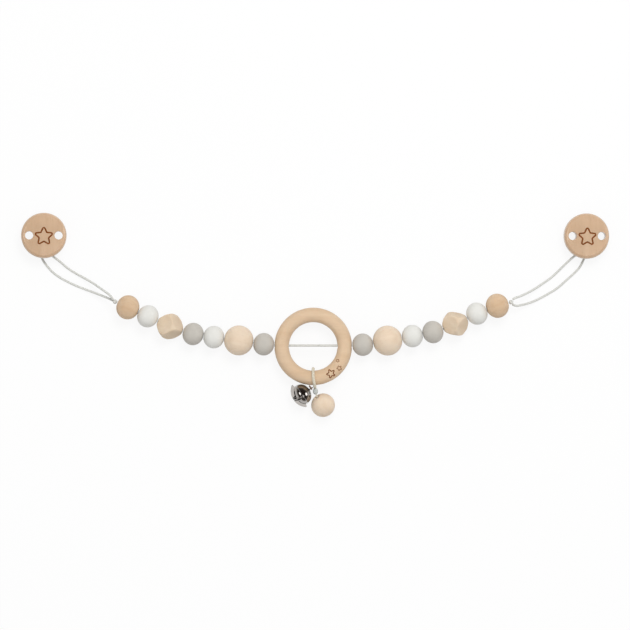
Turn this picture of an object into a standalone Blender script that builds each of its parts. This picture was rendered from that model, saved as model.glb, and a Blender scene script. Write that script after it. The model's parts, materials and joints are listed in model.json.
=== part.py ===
"""Pram chain toy: wooden beads, a teething ring, a bell and two fabric clips on one cord.

The toy lies as it would on a table. X runs along the chain, Y points up the picture,
Z points up from the table. All sizes are in metres. Each physical piece is one named
object, and each empty stands on the axis of a joint and carries the pieces that move
with it.
"""
import math

import bmesh
import bpy
from mathutils import Matrix, Vector

# Clearance kept between pieces that touch on the real toy
GAP = 0.0003
# How far a cutter runs past what it cuts
OVERRUN = 0.0015
MERGE = 0.00001

# The cord and the bores that it runs through
CORD_DIAMETER = 0.0019
BORE_DIAMETER = 0.0040
MOUTH_DIAMETER = 0.0048
MOUTH_DEPTH = 0.0005
BEAD_GAP = 0.0005

# Beads: the size across the bore and the length along it
ROUND_BEAD_DIAMETER = 0.0183
ROUND_BEAD_LENGTH = 0.0165
SMALL_WOOD_DIAMETER = 0.0198
SMALL_WOOD_LENGTH = 0.0181
LARGE_WOOD_DIAMETER = 0.0243
LARGE_WOOD_LENGTH = 0.0234
CUT_BEAD_SIDE = 0.0156
CUT_BEAD_LENGTHS = {"left": 0.0220, "right": 0.0212}
CUT_BEAD_EDGE = 0.0004

# Teething ring
RING_OUTER_DIAMETER = 0.0628
RING_SECTION = 0.0118
RING_HANG = 0.0007

# Knots at the two ends of the chain
KNOT_DIAMETER = 0.0038

# Wooden disc of a clip
DISC_DIAMETER = 0.0368
DISC_THICKNESS = 0.0090
DISC_DOME = 0.0009
DISC_FRONT_ROUND = 0.0034
DISC_BACK_ROUND = 0.0014
VENT_DIAMETER = 0.0066
VENT_SPACING = 0.0238
VENT_FLARE = 0.0005

# Steel clip under the disc
SHEET = 0.0010
FRAME_WIDTH = 0.0164
FRAME_JAW_REACH = 0.0166
FRAME_STEP_START = 0.0050
FRAME_STEP_RUN = 0.0024
FRAME_STEP_DROP = 0.0026
FRAME_CORNER = 0.0022
STRAP_BAR_DIAMETER = 0.0018
STRAP_BAR_REACH = 0.0136
STRAP_SLOT_WIDTH = 0.0124
STRAP_SLOT_DEPTH = 0.0050
PIN_DIAMETER = 0.0018
PIN_REACH = 0.0115
PIN_HEAD_DIAMETER = 0.0030
PIN_HEAD_THICKNESS = 0.0005
KNUCKLE_DIAMETER = 0.0038
LEVER_NOSE_RADIUS = 0.0029
LEVER_SHEET = 0.0009
LEVER_TAB_REACH = 0.0080
LEVER_TAB_WIDTH = 0.0120
LEVER_TAB_ROUND = 0.0045
# Degrees from the top of the nose to its corners, and to where it meets the knuckle
LEVER_NOSE_SPREAD = 15.0
LEVER_NOSE_FOOT = 30.0
PAD_THICKNESS = 0.0012
PAD_WIDTH = 0.0105
PAD_BACK_REACH = 0.0036
PAD_LANDING_START = 0.0024
PAD_LANDING_LENGTH = 0.0024
PAD_LANDING_STEP = 0.0003
SCREW_DIAMETER = 0.0015
SCREW_LENGTH = 0.0058
SCREW_HEAD_DIAMETER = 0.0034
SCREW_HEAD_THICKNESS = 0.0009
SCREW_UPPER_REACH = 0.0050
SCREW_LOWER_REACH = 0.0022

# Pendant: a doubled cord round the ring, a knot, a bead and a bell
PENDANT_CORD_DIAMETER = 0.0026
PENDANT_STRAND_DIAMETER = 0.0013
PENDANT_KNOT_DIAMETER = 0.0043
PENDANT_KNOT_LENGTH = 0.0056
PENDANT_BEAD_DIAMETER = 0.0194
PENDANT_BEAD_LENGTH = 0.0184
PENDANT_COUNTERBORE_DIAMETER = 0.0056
PENDANT_COUNTERBORE_DEPTH = 0.0036
PENDANT_STOPPER_DIAMETER = 0.0045

# Bell: a cap with an eye, and a cup cut into four petals with turned-out lips
BELL_DIAMETER = 0.0170
BELL_RIDGE_DIAMETER = 0.0176
BELL_RIDGE_HEIGHT = 0.0006
BELL_SHEET = 0.0005
BELL_CAP_HEIGHT = 0.0074
BELL_CUP_HEIGHT = 0.0058
BELL_SLOT = 0.0010
BELL_LIP = 0.00045
BELL_CREST_HEIGHT = 0.0083
BELL_CREST_WIDTH = 0.0212
BELL_CREST_CORNER_HEIGHT = 0.0031
BELL_CREST_END = 0.0009
BELL_MOUTH_DIAMETER = 0.0030
BELL_EYE_RADIUS = 0.0014
BELL_EYE_WIRE_DIAMETER = 0.0009
BELL_PEA_DIAMETER = 0.0050

# Where the pieces of the pendant lie, from the lowest point of the ring
PENDANT_KNOT_PLACE = Vector((0.0018, -0.0049, 0.00025))
PENDANT_BEAD_PLACE = Vector((0.0080, -0.0163, -0.00245))
PENDANT_BEAD_HEADING = -54.7
PENDANT_BEAD_TILT = -22.0
BELL_PLACE = Vector((-0.0091, -0.0074, -0.00125))
BELL_HEADING = 213.1
BELL_CUP_TURN = -12.0
BELL_EYE_DISTANCE = 0.0088
TIE_HEIGHT = 0.00305
TIE_REACH = 0.0012
TIE_TURN = 0.0007

# Clips: the centre of each disc from the end of the beads, and how the discs lean
LEFT_DISC_PLACE = (-0.0596, 0.0550)
RIGHT_DISC_PLACE = (0.0630, 0.0537)
CLIP_LEAN = 4.5

# The headings, in degrees, of the bores on the way out from the ring
BEAD_KINDS = ("grey", "large_wood", "white", "grey", "cut_wood", "white", "small_wood")
LEFT_HEADINGS = (7.0, 10.0, 4.0, 13.0, 22.0, 28.5, 20.0)
RIGHT_HEADINGS = (4.5, 13.0, 6.5, 15.5, 24.5, 25.5, 17.0)
# How the faces of the two cut beads lie: their roll on the cord, and which end they face
CUT_BEAD_ROLL = {"left": 0.0, "right": 48.6}
CUT_BEAD_FACES = {"left": 1, "right": -1}

# How fine the round pieces are
BEAD_SEGMENTS = 20
BEAD_BANDS = 8
RING_SEGMENTS = 40
RING_BANDS = 12
DISC_SEGMENTS = 24
VENT_SEGMENTS = 16
BELL_SEGMENTS = 24
BELL_BANDS = 5
BORE_SEGMENTS = 12
KNOT_SEGMENTS = 9
KNOT_BANDS = 6
SCREW_SEGMENTS = 10
SCREW_HOLE_SEGMENTS = 8
EYE_SEGMENTS = 16
EYE_BANDS = 8
PEA_SEGMENTS = 12
PEA_BANDS = 8
ARC_STEPS = 4
FINE_ARC_STEPS = 6
CORNER_STEPS = 3
FOOT_STEPS = 2
WRAP_STEPS = 4
LOOP_STEPS = 10
# Degrees from the ring's level to where each leg of the pendant's loop leaves the ring
LOOP_WRAP = 132
LOOP_LEG_SHIFT_SHARE = 0.8
DOME_SHARES = (0.45, 0.8)

CORD_HEIGHT = LARGE_WOOD_DIAMETER / 2
CORD_RADIUS = CORD_DIAMETER / 2

# The routes of the two end loops, in metres from the last bead's outer mouth, chosen to
# follow the cord as it lies. The heights are those of the cord's centre over the table.
LEFT_OVER_STRAND = (
    (-0.0030, 0.0031, 0.0132), (-0.0066, 0.0073, 0.0130), (-0.0133, 0.0120, 0.0098),
    (-0.0200, 0.0165, 0.0062), (-0.0261, 0.0200, 0.0036), (-0.0335, 0.0241, 0.0018),
    (-0.0400, 0.0281, 0.0017), (-0.0465, 0.0336, 0.0035), (-0.0519, 0.0378, 0.0058),
)
LEFT_UNDER_STRAND = (
    (-0.0035, 0.0024, 0.0109), (-0.0075, 0.0042, 0.0086), (-0.0153, 0.0073, 0.0050),
    (-0.0233, 0.0103, 0.0024), (-0.0321, 0.0136, 0.0012), (-0.0402, 0.0173, 0.0011),
    (-0.0486, 0.0220, 0.0011), (-0.0551, 0.0275, 0.0013), (-0.0605, 0.0346, 0.0020),
)
RIGHT_OVER_STRAND = (
    (0.0036, 0.0025, 0.0131), (0.0061, 0.0038, 0.0124), (0.0098, 0.0050, 0.0104),
    (0.0169, 0.0083, 0.0068), (0.0230, 0.0117, 0.0042), (0.0290, 0.0157, 0.0024),
    (0.0344, 0.0194, 0.0018), (0.0391, 0.0235, 0.0020), (0.0438, 0.0282, 0.0032),
    (0.0488, 0.0331, 0.0048), (0.0531, 0.0369, 0.0063),
)
RIGHT_UNDER_STRAND = (
    (0.0038, -0.0018, 0.0112), (0.0071, -0.0028, 0.0089), (0.0129, -0.0017, 0.0056),
    (0.0196, 0.0003, 0.0030), (0.0263, 0.0033, 0.0015), (0.0337, 0.0074, 0.0011),
    (0.0411, 0.0121, 0.0011), (0.0478, 0.0181, 0.0011), (0.0539, 0.0235, 0.0011),
    (0.0587, 0.0288, 0.0014), (0.0616, 0.0345, 0.0021),
)
LEFT_KNOT_PLACE = (-0.0017, 0.0014)
RIGHT_KNOT_PLACE = (0.0021, 0.0002)
# Where the over and the under strand cross the strap bar, along the bar
LEFT_CROSSINGS = (0.0032, -0.0035)
RIGHT_CROSSINGS = (-0.0047, 0.0015)

WOOD = ("pale_wood", (0.74, 0.55, 0.38), 0.55, 0.0)
DISC_WOOD = ("clip_wood", (0.64, 0.43, 0.29), 0.45, 0.0)
WHITE = ("white_lacquer", (0.82, 0.80, 0.75), 0.45, 0.0)
GREY = ("grey_lacquer", (0.56, 0.52, 0.47), 0.45, 0.0)
CORD = ("white_cord", (0.80, 0.80, 0.78), 0.85, 0.0)
CREAM_CORD = ("cream_cord", (0.80, 0.72, 0.56), 0.85, 0.0)
STEEL = ("plated_steel", (0.60, 0.59, 0.57), 0.22, 1.0)
PLASTIC = ("clear_plastic", (0.78, 0.80, 0.80), 0.35, 0.0)


def clear_scene():
    for obj in list(bpy.data.objects):
        bpy.data.objects.remove(obj, do_unlink=True)


def new_collection(name):
    collection = bpy.data.collections.new(name)
    bpy.context.scene.collection.children.link(collection)
    return collection


def material(finish):
    name, colour, roughness, metallic = finish
    found = bpy.data.materials.get(name)
    if found:
        return found
    made = bpy.data.materials.new(name)
    made.use_nodes = True
    shader = made.node_tree.nodes["Principled BSDF"]
    shader.inputs["Base Color"].default_value = (*colour, 1.0)
    shader.inputs["Roughness"].default_value = roughness
    shader.inputs["Metallic"].default_value = metallic
    made.diffuse_color = (*colour, 1.0)
    return made


def place(obj, parent, location=(0, 0, 0), rotation=None):
    """Puts an object in its parent's frame."""
    obj.parent = parent
    turn = rotation.to_4x4() if rotation else Matrix.Identity(4)
    obj.matrix_basis = Matrix.Translation(location) @ turn
    return obj


def part(name, data, finish, parent, location=(0, 0, 0), rotation=None):
    obj = bpy.data.objects.new(name, data)
    PARTS.objects.link(obj)
    data.materials.append(material(finish))
    return place(obj, parent, location, rotation)


def cutter(name, data, parent, location=(0, 0, 0), rotation=None):
    obj = bpy.data.objects.new(name, data)
    CUTTERS.objects.link(obj)
    obj.hide_render = True
    obj.display_type = 'WIRE'
    return place(obj, parent, location, rotation)


def axis_empty(name, parent, location=(0, 0, 0), rotation=None):
    empty = bpy.data.objects.new(name, None)
    empty.empty_display_size = CORD_HEIGHT
    PARTS.objects.link(empty)
    return place(empty, parent, location, rotation)


def boolean(obj, tool, operation='DIFFERENCE'):
    step = obj.modifiers.new(operation.lower(), 'BOOLEAN')
    step.operation = operation
    step.solver = 'EXACT'
    step.object = tool


def turn(obj, segments=BEAD_SEGMENTS):
    """Turns a profile in the XZ plane round the local Z axis."""
    screw = obj.modifiers.new("turn", 'SCREW')
    screw.axis = 'Z'
    screw.angle = math.tau
    screw.steps = segments
    screw.render_steps = segments
    screw.use_merge_vertices = True
    screw.merge_threshold = MERGE
    screw.use_smooth_shade = True
    return obj


def profile_mesh(name, points):
    """Joins (radius, height) points, given down the outer side, into a closed profile."""
    mesh = bpy.data.meshes.new(name)
    on_axis = points[0][0] == 0 and points[-1][0] == 0
    count = len(points)
    edges = [(i, (i + 1) % count) for i in range(count - 1 if on_axis else count)]
    mesh.from_pydata([(radius, 0, height) for radius, height in points], edges, [])
    return mesh


def arc(centre, radii, start, end, steps=ARC_STEPS):
    """Points on an arc or an elliptical arc, angles in degrees."""
    points = []
    for i in range(steps + 1):
        angle = math.radians(start + (end - start) * i / steps)
        points.append((centre[0] + radii[0] * math.cos(angle),
                       centre[1] + radii[1] * math.sin(angle)))
    return points


def cylinder_mesh(name, diameter, length, segments=BORE_SEGMENTS):
    """A cylinder centred on the origin, along Z."""
    mesh = bpy.data.meshes.new(name)
    work = bmesh.new()
    bmesh.ops.create_cone(work, cap_ends=True, segments=segments, radius1=diameter / 2,
                          radius2=diameter / 2, depth=length)
    work.to_mesh(mesh)
    work.free()
    return mesh


def box_mesh(name, size):
    mesh = bpy.data.meshes.new(name)
    work = bmesh.new()
    bmesh.ops.create_cube(work, size=1)
    bmesh.ops.scale(work, vec=size, verts=work.verts)
    work.to_mesh(mesh)
    work.free()
    return mesh


def torus_mesh(name, ring_radius, wire_radius, segments, bands):
    bpy.ops.mesh.primitive_torus_add(major_radius=ring_radius, minor_radius=wire_radius,
                                     major_segments=segments, minor_segments=bands)
    made = bpy.context.object
    mesh = made.data
    mesh.name = name
    bpy.data.objects.remove(made)
    return mesh


def outline_mesh(name, points, thickness):
    """A flat outline in local XY, given a thickness along Z."""
    curve = bpy.data.curves.new(name, 'CURVE')
    curve.dimensions = '2D'
    curve.fill_mode = 'BOTH'
    curve.extrude = thickness / 2
    spline = curve.splines.new('POLY')
    spline.points.add(len(points) - 1)
    for point, (x, y) in zip(spline.points, points):
        point.co = (x, y, 0, 1)
    spline.use_cyclic_u = True
    return mesh_from_curve(name, curve)


def mesh_from_curve(name, curve):
    holder = bpy.data.objects.new(name, curve)
    bpy.context.scene.collection.objects.link(holder)
    graph = bpy.context.evaluated_depsgraph_get()
    mesh = bpy.data.meshes.new_from_object(holder.evaluated_get(graph))
    bpy.data.objects.remove(holder)
    work = bmesh.new()
    work.from_mesh(mesh)
    bmesh.ops.remove_doubles(work, verts=work.verts, dist=MERGE)
    bmesh.ops.recalc_face_normals(work, faces=work.faces)
    work.to_mesh(mesh)
    work.free()
    return mesh


def rounded_rectangle(width, length, radius):
    """Outline points of a rectangle with round corners, centred on the origin."""
    x, y = width / 2 - radius, length / 2 - radius
    points = []
    for corner, start in (((x, y), 0), ((-x, y), 90), ((-x, -y), 180), ((x, -y), 270)):
        points += arc(corner, (radius, radius), start, start + 90, CORNER_STEPS)
    return points


def tube(name, points, diameter, resolution=2):
    """A cord as a curve with a round section and closed ends."""
    curve = bpy.data.curves.new(name, 'CURVE')
    curve.dimensions = '3D'
    curve.bevel_depth = diameter / 2
    curve.bevel_resolution = resolution
    curve.use_fill_caps = True
    spline = curve.splines.new('POLY')
    spline.points.add(len(points) - 1)
    for point, place_at in zip(spline.points, points):
        point.co = (*place_at, 1)
    return curve


def smooth_route(points, step):
    """Points about a step apart on a smooth curve through the route's own points."""
    route = [Vector(p) for p in points]
    ends = [2 * route[0] - route[1]] + route + [2 * route[-1] - route[-2]]
    smooth = [route[0]]
    for before, start, end, after in zip(ends, ends[1:], ends[2:], ends[3:]):
        pieces = max(1, round((end - start).length / step))
        for i in range(1, pieces + 1):
            t = i / pieces
            smooth.append(0.5 * (2 * start + (end - before) * t
                                 + (2 * before - 5 * start + 4 * end - after) * t ** 2
                                 + (3 * start - before - 3 * end + after) * t ** 3))
    return smooth


def round_bead_profile(diameter, length, counterbore=None):
    """A turned bead, slightly flattened at the bore, with eased mouths."""
    radius, mouth, bore = diameter / 2, MOUTH_DIAMETER / 2, BORE_DIAMETER / 2
    height = length / 2 / math.sqrt(1 - (mouth / radius) ** 2)
    low = -math.degrees(math.asin(length / 2 / height))
    if not counterbore:
        inner = [(bore, -length / 2 + MOUTH_DEPTH), (bore, length / 2 - MOUTH_DEPTH)]
        return arc((0, 0), (radius, height), -low, low, BEAD_BANDS) + inner
    wide, depth = counterbore
    high = math.degrees(math.acos(wide / 2 / radius))
    inner = [(bore, -length / 2 + MOUTH_DEPTH), (bore, length / 2 - depth),
             (wide / 2, length / 2 - depth)]
    return arc((0, 0), (radius, height), high, low, BEAD_BANDS) + inner


BEAD_SIZES = {
    "grey": (ROUND_BEAD_DIAMETER, ROUND_BEAD_LENGTH),
    "white": (ROUND_BEAD_DIAMETER, ROUND_BEAD_LENGTH),
    "small_wood": (SMALL_WOOD_DIAMETER, SMALL_WOOD_LENGTH),
    "large_wood": (LARGE_WOOD_DIAMETER, LARGE_WOOD_LENGTH),
}
BEAD_FINISH = {"grey": GREY, "white": WHITE, "small_wood": WOOD, "large_wood": WOOD}
ALONG_X = Matrix.Rotation(math.pi / 2, 3, 'Y')
# Turns a flat outline so that its X lies along Y, its Y along Z and its thickness along X
STANDING = Matrix(((0, 0, 1), (1, 0, 0), (0, 1, 0)))


def cut_bead_mesh(name, length):
    """A cube with all eight corners cut off, standing on one cut corner."""
    mesh = bpy.data.meshes.new(name)
    work = bmesh.new()
    bmesh.ops.create_cube(work, size=CUT_BEAD_SIDE)
    for x in (-1, 1):
        for y in (-1, 1):
            for z in (-1, 1):
                normal = Vector((x, y, z)).normalized()
                found = bmesh.ops.bisect_plane(
                    work, geom=work.verts[:] + work.edges[:] + work.faces[:], dist=MERGE,
                    plane_co=normal * length / 2, plane_no=normal, clear_outer=True)
                edges = [e for e in found["geom_cut"] if isinstance(e, bmesh.types.BMEdge)]
                bmesh.ops.edgenet_fill(work, edges=edges)
    bmesh.ops.recalc_face_normals(work, faces=work.faces)
    upright = Vector((1, 1, 1)).rotation_difference(Vector((0, 0, 1))).to_matrix()
    bmesh.ops.rotate(work, cent=(0, 0, 0), matrix=upright, verts=work.verts)
    work.to_mesh(mesh)
    work.free()
    return mesh


def bead_length(kind, side):
    return CUT_BEAD_LENGTHS[side] if kind == "cut_wood" else BEAD_SIZES[kind][1]


def add_cut_bead(name, side, parent, location):
    # The corner-to-corner axis goes along the cord, and one face turns up
    length = CUT_BEAD_LENGTHS[side]
    lean = ALONG_X if CUT_BEAD_FACES[side] > 0 else Matrix.Rotation(-math.pi / 2, 3, 'Y')
    roll = Matrix.Rotation(math.radians(CUT_BEAD_ROLL[side]), 3, 'X')
    upward = Matrix.Rotation(face_turn(), 3, 'Z')
    bead = part(name, cut_bead_mesh(name, length), WOOD, parent, location,
                roll @ lean @ upward)
    ease = bead.modifiers.new("eased_edges", 'BEVEL')
    ease.width = CUT_BEAD_EDGE
    ease.segments = 1
    ease.limit_method = 'ANGLE'
    bore = cutter(name + "_bore", cylinder_mesh(name + "_bore", BORE_DIAMETER,
                                                length + OVERRUN),
                  parent, location, ALONG_X)
    boolean(bead, bore)
    return bead


def face_turn():
    """The turn about the corner axis that brings the third face's normal over -X."""
    upright = Vector((1, 1, 1)).rotation_difference(Vector((0, 0, 1))).to_matrix()
    normal = upright @ Vector((0, 0, 1))
    return math.pi - math.atan2(normal.y, normal.x)


def add_bead(name, kind, side, parent, location):
    if kind == "cut_wood":
        return add_cut_bead(name, side, parent, location)
    mesh = profile_mesh(name, round_bead_profile(*BEAD_SIZES[kind]))
    return turn(part(name, mesh, BEAD_FINISH[kind], parent, location, ALONG_X))


def straight_cord(name, parent, start, end, diameter=CORD_DIAMETER, finish=CORD):
    return part(name, tube(name, (start, end), diameter), finish, parent)


KNOT_TURNS = (
    Matrix.Rotation(math.radians(12), 3, 'Y'),
    Matrix.Rotation(math.radians(68), 3, 'X'),
    Matrix.Rotation(math.radians(62), 3, 'Y') @ Matrix.Rotation(math.radians(35), 3, 'X'),
)


def ball_mesh(name, diameter, segments, bands):
    mesh = bpy.data.meshes.new(name)
    work = bmesh.new()
    bmesh.ops.create_uvsphere(work, u_segments=segments, v_segments=bands,
                              radius=diameter / 2)
    work.to_mesh(mesh)
    work.free()
    return mesh


def wind_turns(obj, diameter, strand, parent, location, stretch=1):
    """Winds three crossing turns of cord round the core of a knot."""
    for i, rotation in enumerate(KNOT_TURNS):
        name = f"{obj.name}_turn_{i}"
        mesh = torus_mesh(name, (diameter - strand) / 2, strand / 2, KNOT_SEGMENTS, KNOT_BANDS)
        mesh.transform(Matrix.Diagonal((1, stretch, 1, 1)) @ rotation.to_4x4())
        boolean(obj, cutter(name, mesh, parent, location), 'UNION')
    return obj


def add_knot(name, diameter, strand, finish, parent, location, stretch=1):
    core = ball_mesh(name, diameter - strand, KNOT_SEGMENTS, KNOT_BANDS)
    core.transform(Matrix.Diagonal((1, stretch, 1, 1)))
    return wind_turns(part(name, core, finish, parent, location), diameter, strand, parent,
                      location, stretch)


def add_ring(parent):
    middle = (RING_OUTER_DIAMETER - RING_SECTION) / 2
    mesh = torus_mesh("wood_ring", middle, RING_SECTION / 2, RING_SEGMENTS, RING_BANDS)
    ring = part("wood_ring", mesh, WOOD, parent, (0, -RING_HANG, 0))
    hole = cutter("ring_bore", cylinder_mesh("ring_bore", BORE_DIAMETER,
                                             RING_OUTER_DIAMETER + OVERRUN),
                  parent, (0, -RING_HANG, 0), ALONG_X)
    boolean(ring, hole)
    return ring


def add_arm(side, headings, root):
    """One half of the chain: cord links with their beads, out to the last bead's mouth."""
    sign = 1 if side == "right" else -1
    previous, reach = root, RING_OUTER_DIAMETER / 2 + BEAD_GAP / 2
    parent_heading = 0
    axis_out = Matrix.Rotation(0 if sign > 0 else math.pi, 3, 'Z')
    location = Vector((sign * reach, 0, 0))
    for number, (kind, heading) in enumerate(zip(BEAD_KINDS, headings), 1):
        bend = math.radians(heading - parent_heading) * sign
        rotation = Matrix.Rotation(bend, 3, 'Z')
        if number == 1:
            rotation = rotation @ axis_out
        link = axis_empty(f"{side}_link_{number}", previous, location, rotation)
        pitch = bead_length(kind, side) + BEAD_GAP
        straight_cord(f"{side}_cord_{number}", link, (GAP / 2, 0, 0), (pitch - GAP / 2, 0, 0))
        centre = (pitch / 2, 0, 0)
        hub = axis_empty(f"{side}_bead_{number}_axis", link, centre)
        add_bead(f"{side}_bead_{number}_{kind}", kind, side, hub, (0, 0, 0))
        previous, location, parent_heading = link, Vector((pitch, 0, 0)), heading
    # The loop's frame lies square to the toy again
    back = Matrix.Rotation(-math.radians(parent_heading) * sign, 3, 'Z')
    return axis_empty(f"{side}_loop_axis", previous, location, axis_out @ back)


def clip_height():
    """The height of the disc's back over the table, with the lowest corner touching it."""
    lean = math.radians(CLIP_LEAN)
    lowest = -pin_height() + KNUCKLE_DIAMETER / 2
    return FRAME_WIDTH / 2 * math.sin(lean) + lowest * math.cos(lean)


def frame_height():
    """The height of the middle of the frame's sheet in the clip's frame."""
    return -GAP - SHEET / 2


def pad_face_height():
    return frame_height() - SHEET / 2 - GAP - PAD_THICKNESS


def pin_height():
    return pad_face_height() - GAP - LEVER_NOSE_RADIUS


def bar_height():
    return frame_height() - FRAME_STEP_DROP


def disc_profile():
    radius = DISC_DIAMETER / 2
    shoulder = DISC_THICKNESS - DISC_DOME
    flat = radius - DISC_FRONT_ROUND
    dome = [(0, DISC_THICKNESS)]
    for share in DOME_SHARES:
        dome.append((flat * share, DISC_THICKNESS - DISC_DOME * share ** 2))
    rim = arc((flat, shoulder - DISC_FRONT_ROUND), (DISC_FRONT_ROUND, DISC_FRONT_ROUND),
              90, 0)
    foot = arc((radius - DISC_BACK_ROUND, DISC_BACK_ROUND),
               (DISC_BACK_ROUND, DISC_BACK_ROUND), 0, -90, FOOT_STEPS)
    return dome + rim + foot + [(0, 0)]


def vent_profile():
    radius, flare = VENT_DIAMETER / 2, VENT_FLARE
    top, bottom = DISC_THICKNESS, 0
    drop = DISC_DOME * (VENT_SPACING / 2 / (DISC_DIAMETER / 2 - DISC_FRONT_ROUND)) ** 2
    top -= drop
    return [(0, top + OVERRUN), (radius + flare + OVERRUN, top + OVERRUN),
            (radius, top - flare), (radius, bottom + flare),
            (radius + flare + OVERRUN, bottom - OVERRUN), (0, bottom - OVERRUN)]


def add_disc(side, clip):
    name = f"{side}_clip_disc"
    disc = turn(part(name, profile_mesh(name, disc_profile()), DISC_WOOD, clip),
                DISC_SEGMENTS)
    for hand, x in (("a", -VENT_SPACING / 2), ("b", VENT_SPACING / 2)):
        vent = f"{name}_vent_{hand}"
        tool = cutter(vent, profile_mesh(vent, vent_profile()), clip, (x, 0, 0))
        boolean(disc, turn(tool, VENT_SEGMENTS))
    for hand, y in (("upper", SCREW_UPPER_REACH), ("lower", -SCREW_LOWER_REACH)):
        hole = f"{name}_screw_hole_{hand}"
        depth = SCREW_LENGTH - SHEET
        mesh = cylinder_mesh(hole, SCREW_DIAMETER + 2 * GAP, depth + OVERRUN,
                             SCREW_HOLE_SEGMENTS)
        boolean(disc, cutter(hole, mesh, clip, (0, y, (depth - OVERRUN) / 2)))
    return disc


def add_frame(side, clip):
    """The pressed steel frame: plate, step down to the strap bar, and two ears."""
    name = f"{side}_clip_frame"
    height = frame_height()
    line = ((FRAME_JAW_REACH, height), (-FRAME_STEP_START, height),
            (-FRAME_STEP_START - FRAME_STEP_RUN, bar_height()),
            (-STRAP_BAR_REACH, bar_height()))
    mesh = bpy.data.meshes.new(name)
    half = FRAME_WIDTH / 2
    points = [(x, y, z) for y, z in line for x in (-half, half)]
    faces = [(2 * i, 2 * i + 1, 2 * i + 3, 2 * i + 2) for i in range(len(line) - 1)]
    mesh.from_pydata(points, [], faces)
    frame = part(name, mesh, STEEL, clip)
    sheet = frame.modifiers.new("sheet", 'SOLIDIFY')
    sheet.thickness = SHEET
    sheet.offset = 0
    plan_length = 2 * FRAME_JAW_REACH + STRAP_BAR_REACH
    plan = rounded_rectangle(FRAME_WIDTH + MERGE, plan_length, FRAME_CORNER)
    tool = outline_mesh(name + "_plan", plan, 2 * FRAME_JAW_REACH)
    boolean(frame, cutter(name + "_plan", tool, clip, (0, FRAME_JAW_REACH - plan_length / 2, 0)),
            'INTERSECT')
    bar = cylinder_mesh(name + "_bar", STRAP_BAR_DIAMETER, FRAME_WIDTH)
    slot = box_mesh(name + "_slot", (STRAP_SLOT_WIDTH, STRAP_SLOT_DEPTH, FRAME_STEP_DROP))
    slot_middle = -STRAP_BAR_REACH + STRAP_SLOT_DEPTH / 2
    boolean(frame, cutter(name + "_slot", slot, clip, (0, slot_middle, bar_height())))
    boolean(frame, cutter(name + "_bar", bar, clip, (0, -STRAP_BAR_REACH, bar_height()),
                          ALONG_X), 'UNION')
    radius = KNUCKLE_DIAMETER / 2
    ear = arc((PIN_REACH, pin_height()), (radius, radius), 180, 360, FINE_ARC_STEPS)
    ear += [(PIN_REACH + radius, height), (PIN_REACH - radius, height)]
    for hand, x in (("a", -half + SHEET / 2), ("b", half - SHEET / 2)):
        tool = f"{name}_ear_{hand}"
        boolean(frame, cutter(tool, outline_mesh(tool, ear, SHEET), clip, (x, 0, 0), STANDING),
                'UNION')
    hole = cylinder_mesh(name + "_pin_hole", PIN_DIAMETER + 2 * GAP, FRAME_WIDTH + OVERRUN)
    boolean(frame, cutter(name + "_pin_hole", hole, clip, (0, PIN_REACH, pin_height()),
                          ALONG_X))
    for hand, y in (("upper", SCREW_UPPER_REACH), ("lower", -SCREW_LOWER_REACH)):
        tool = f"{name}_screw_hole_{hand}"
        mesh = cylinder_mesh(tool, SCREW_DIAMETER + 2 * GAP, SHEET + OVERRUN,
                             SCREW_HOLE_SEGMENTS)
        boolean(frame, cutter(tool, mesh, clip, (0, y, height)))
    return frame


def add_lever(side, clip):
    """The sprung lever: knuckle with a clamping nose, and a thumb tab with a round end."""
    name = f"{side}_clip_lever"
    hinge = axis_empty(f"{side}_lever_axis", clip, (0, PIN_REACH, pin_height()))
    radius, nose = KNUCKLE_DIAMETER / 2, LEVER_NOSE_RADIUS
    tab_end = -LEVER_TAB_REACH - PIN_REACH
    tab_top = LEVER_SHEET - radius
    meet = 180 - math.degrees(math.asin(tab_top / radius))
    outline = arc((0, 0), (radius, radius), -90, 90 - LEVER_NOSE_FOOT, FINE_ARC_STEPS)
    outline += arc((0, 0), (nose, nose), 90 - LEVER_NOSE_SPREAD, 90 + LEVER_NOSE_SPREAD,
                   FOOT_STEPS)
    outline += arc((0, 0), (radius, radius), 90 + LEVER_NOSE_FOOT, meet)
    outline += [(tab_end, tab_top), (tab_end, -radius)]
    lever = part(name, outline_mesh(name, outline, LEVER_TAB_WIDTH), STEEL, hinge,
                 (0, 0, 0), STANDING)
    plan_length = KNUCKLE_DIAMETER + LEVER_TAB_REACH + PIN_REACH + LEVER_TAB_ROUND
    plan = rounded_rectangle(LEVER_TAB_WIDTH + MERGE, plan_length, LEVER_TAB_ROUND)
    plan_tool = outline_mesh(name + "_plan", plan, 2 * KNUCKLE_DIAMETER)
    middle = tab_end + plan_length / 2
    boolean(lever, cutter(name + "_plan", plan_tool, hinge, (0, middle, 0)), 'INTERSECT')
    bore = cylinder_mesh(name + "_bore", PIN_DIAMETER + 2 * GAP, LEVER_TAB_WIDTH + OVERRUN)
    boolean(lever, cutter(name + "_bore", bore, hinge, (0, 0, 0), ALONG_X))
    return lever


def add_pin(side, clip):
    name = f"{side}_clip_pin"
    reach = FRAME_WIDTH / 2 + GAP
    head, shank = PIN_HEAD_DIAMETER / 2, PIN_DIAMETER / 2
    end = reach + PIN_HEAD_THICKNESS
    profile = [(0, end), (head, end), (head, reach), (shank, reach), (shank, -reach),
               (head, -reach), (head, -end), (0, -end)]
    return turn(part(name, profile_mesh(name, profile), STEEL, clip,
                     (0, PIN_REACH, pin_height()), ALONG_X), BORE_SEGMENTS)


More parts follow.
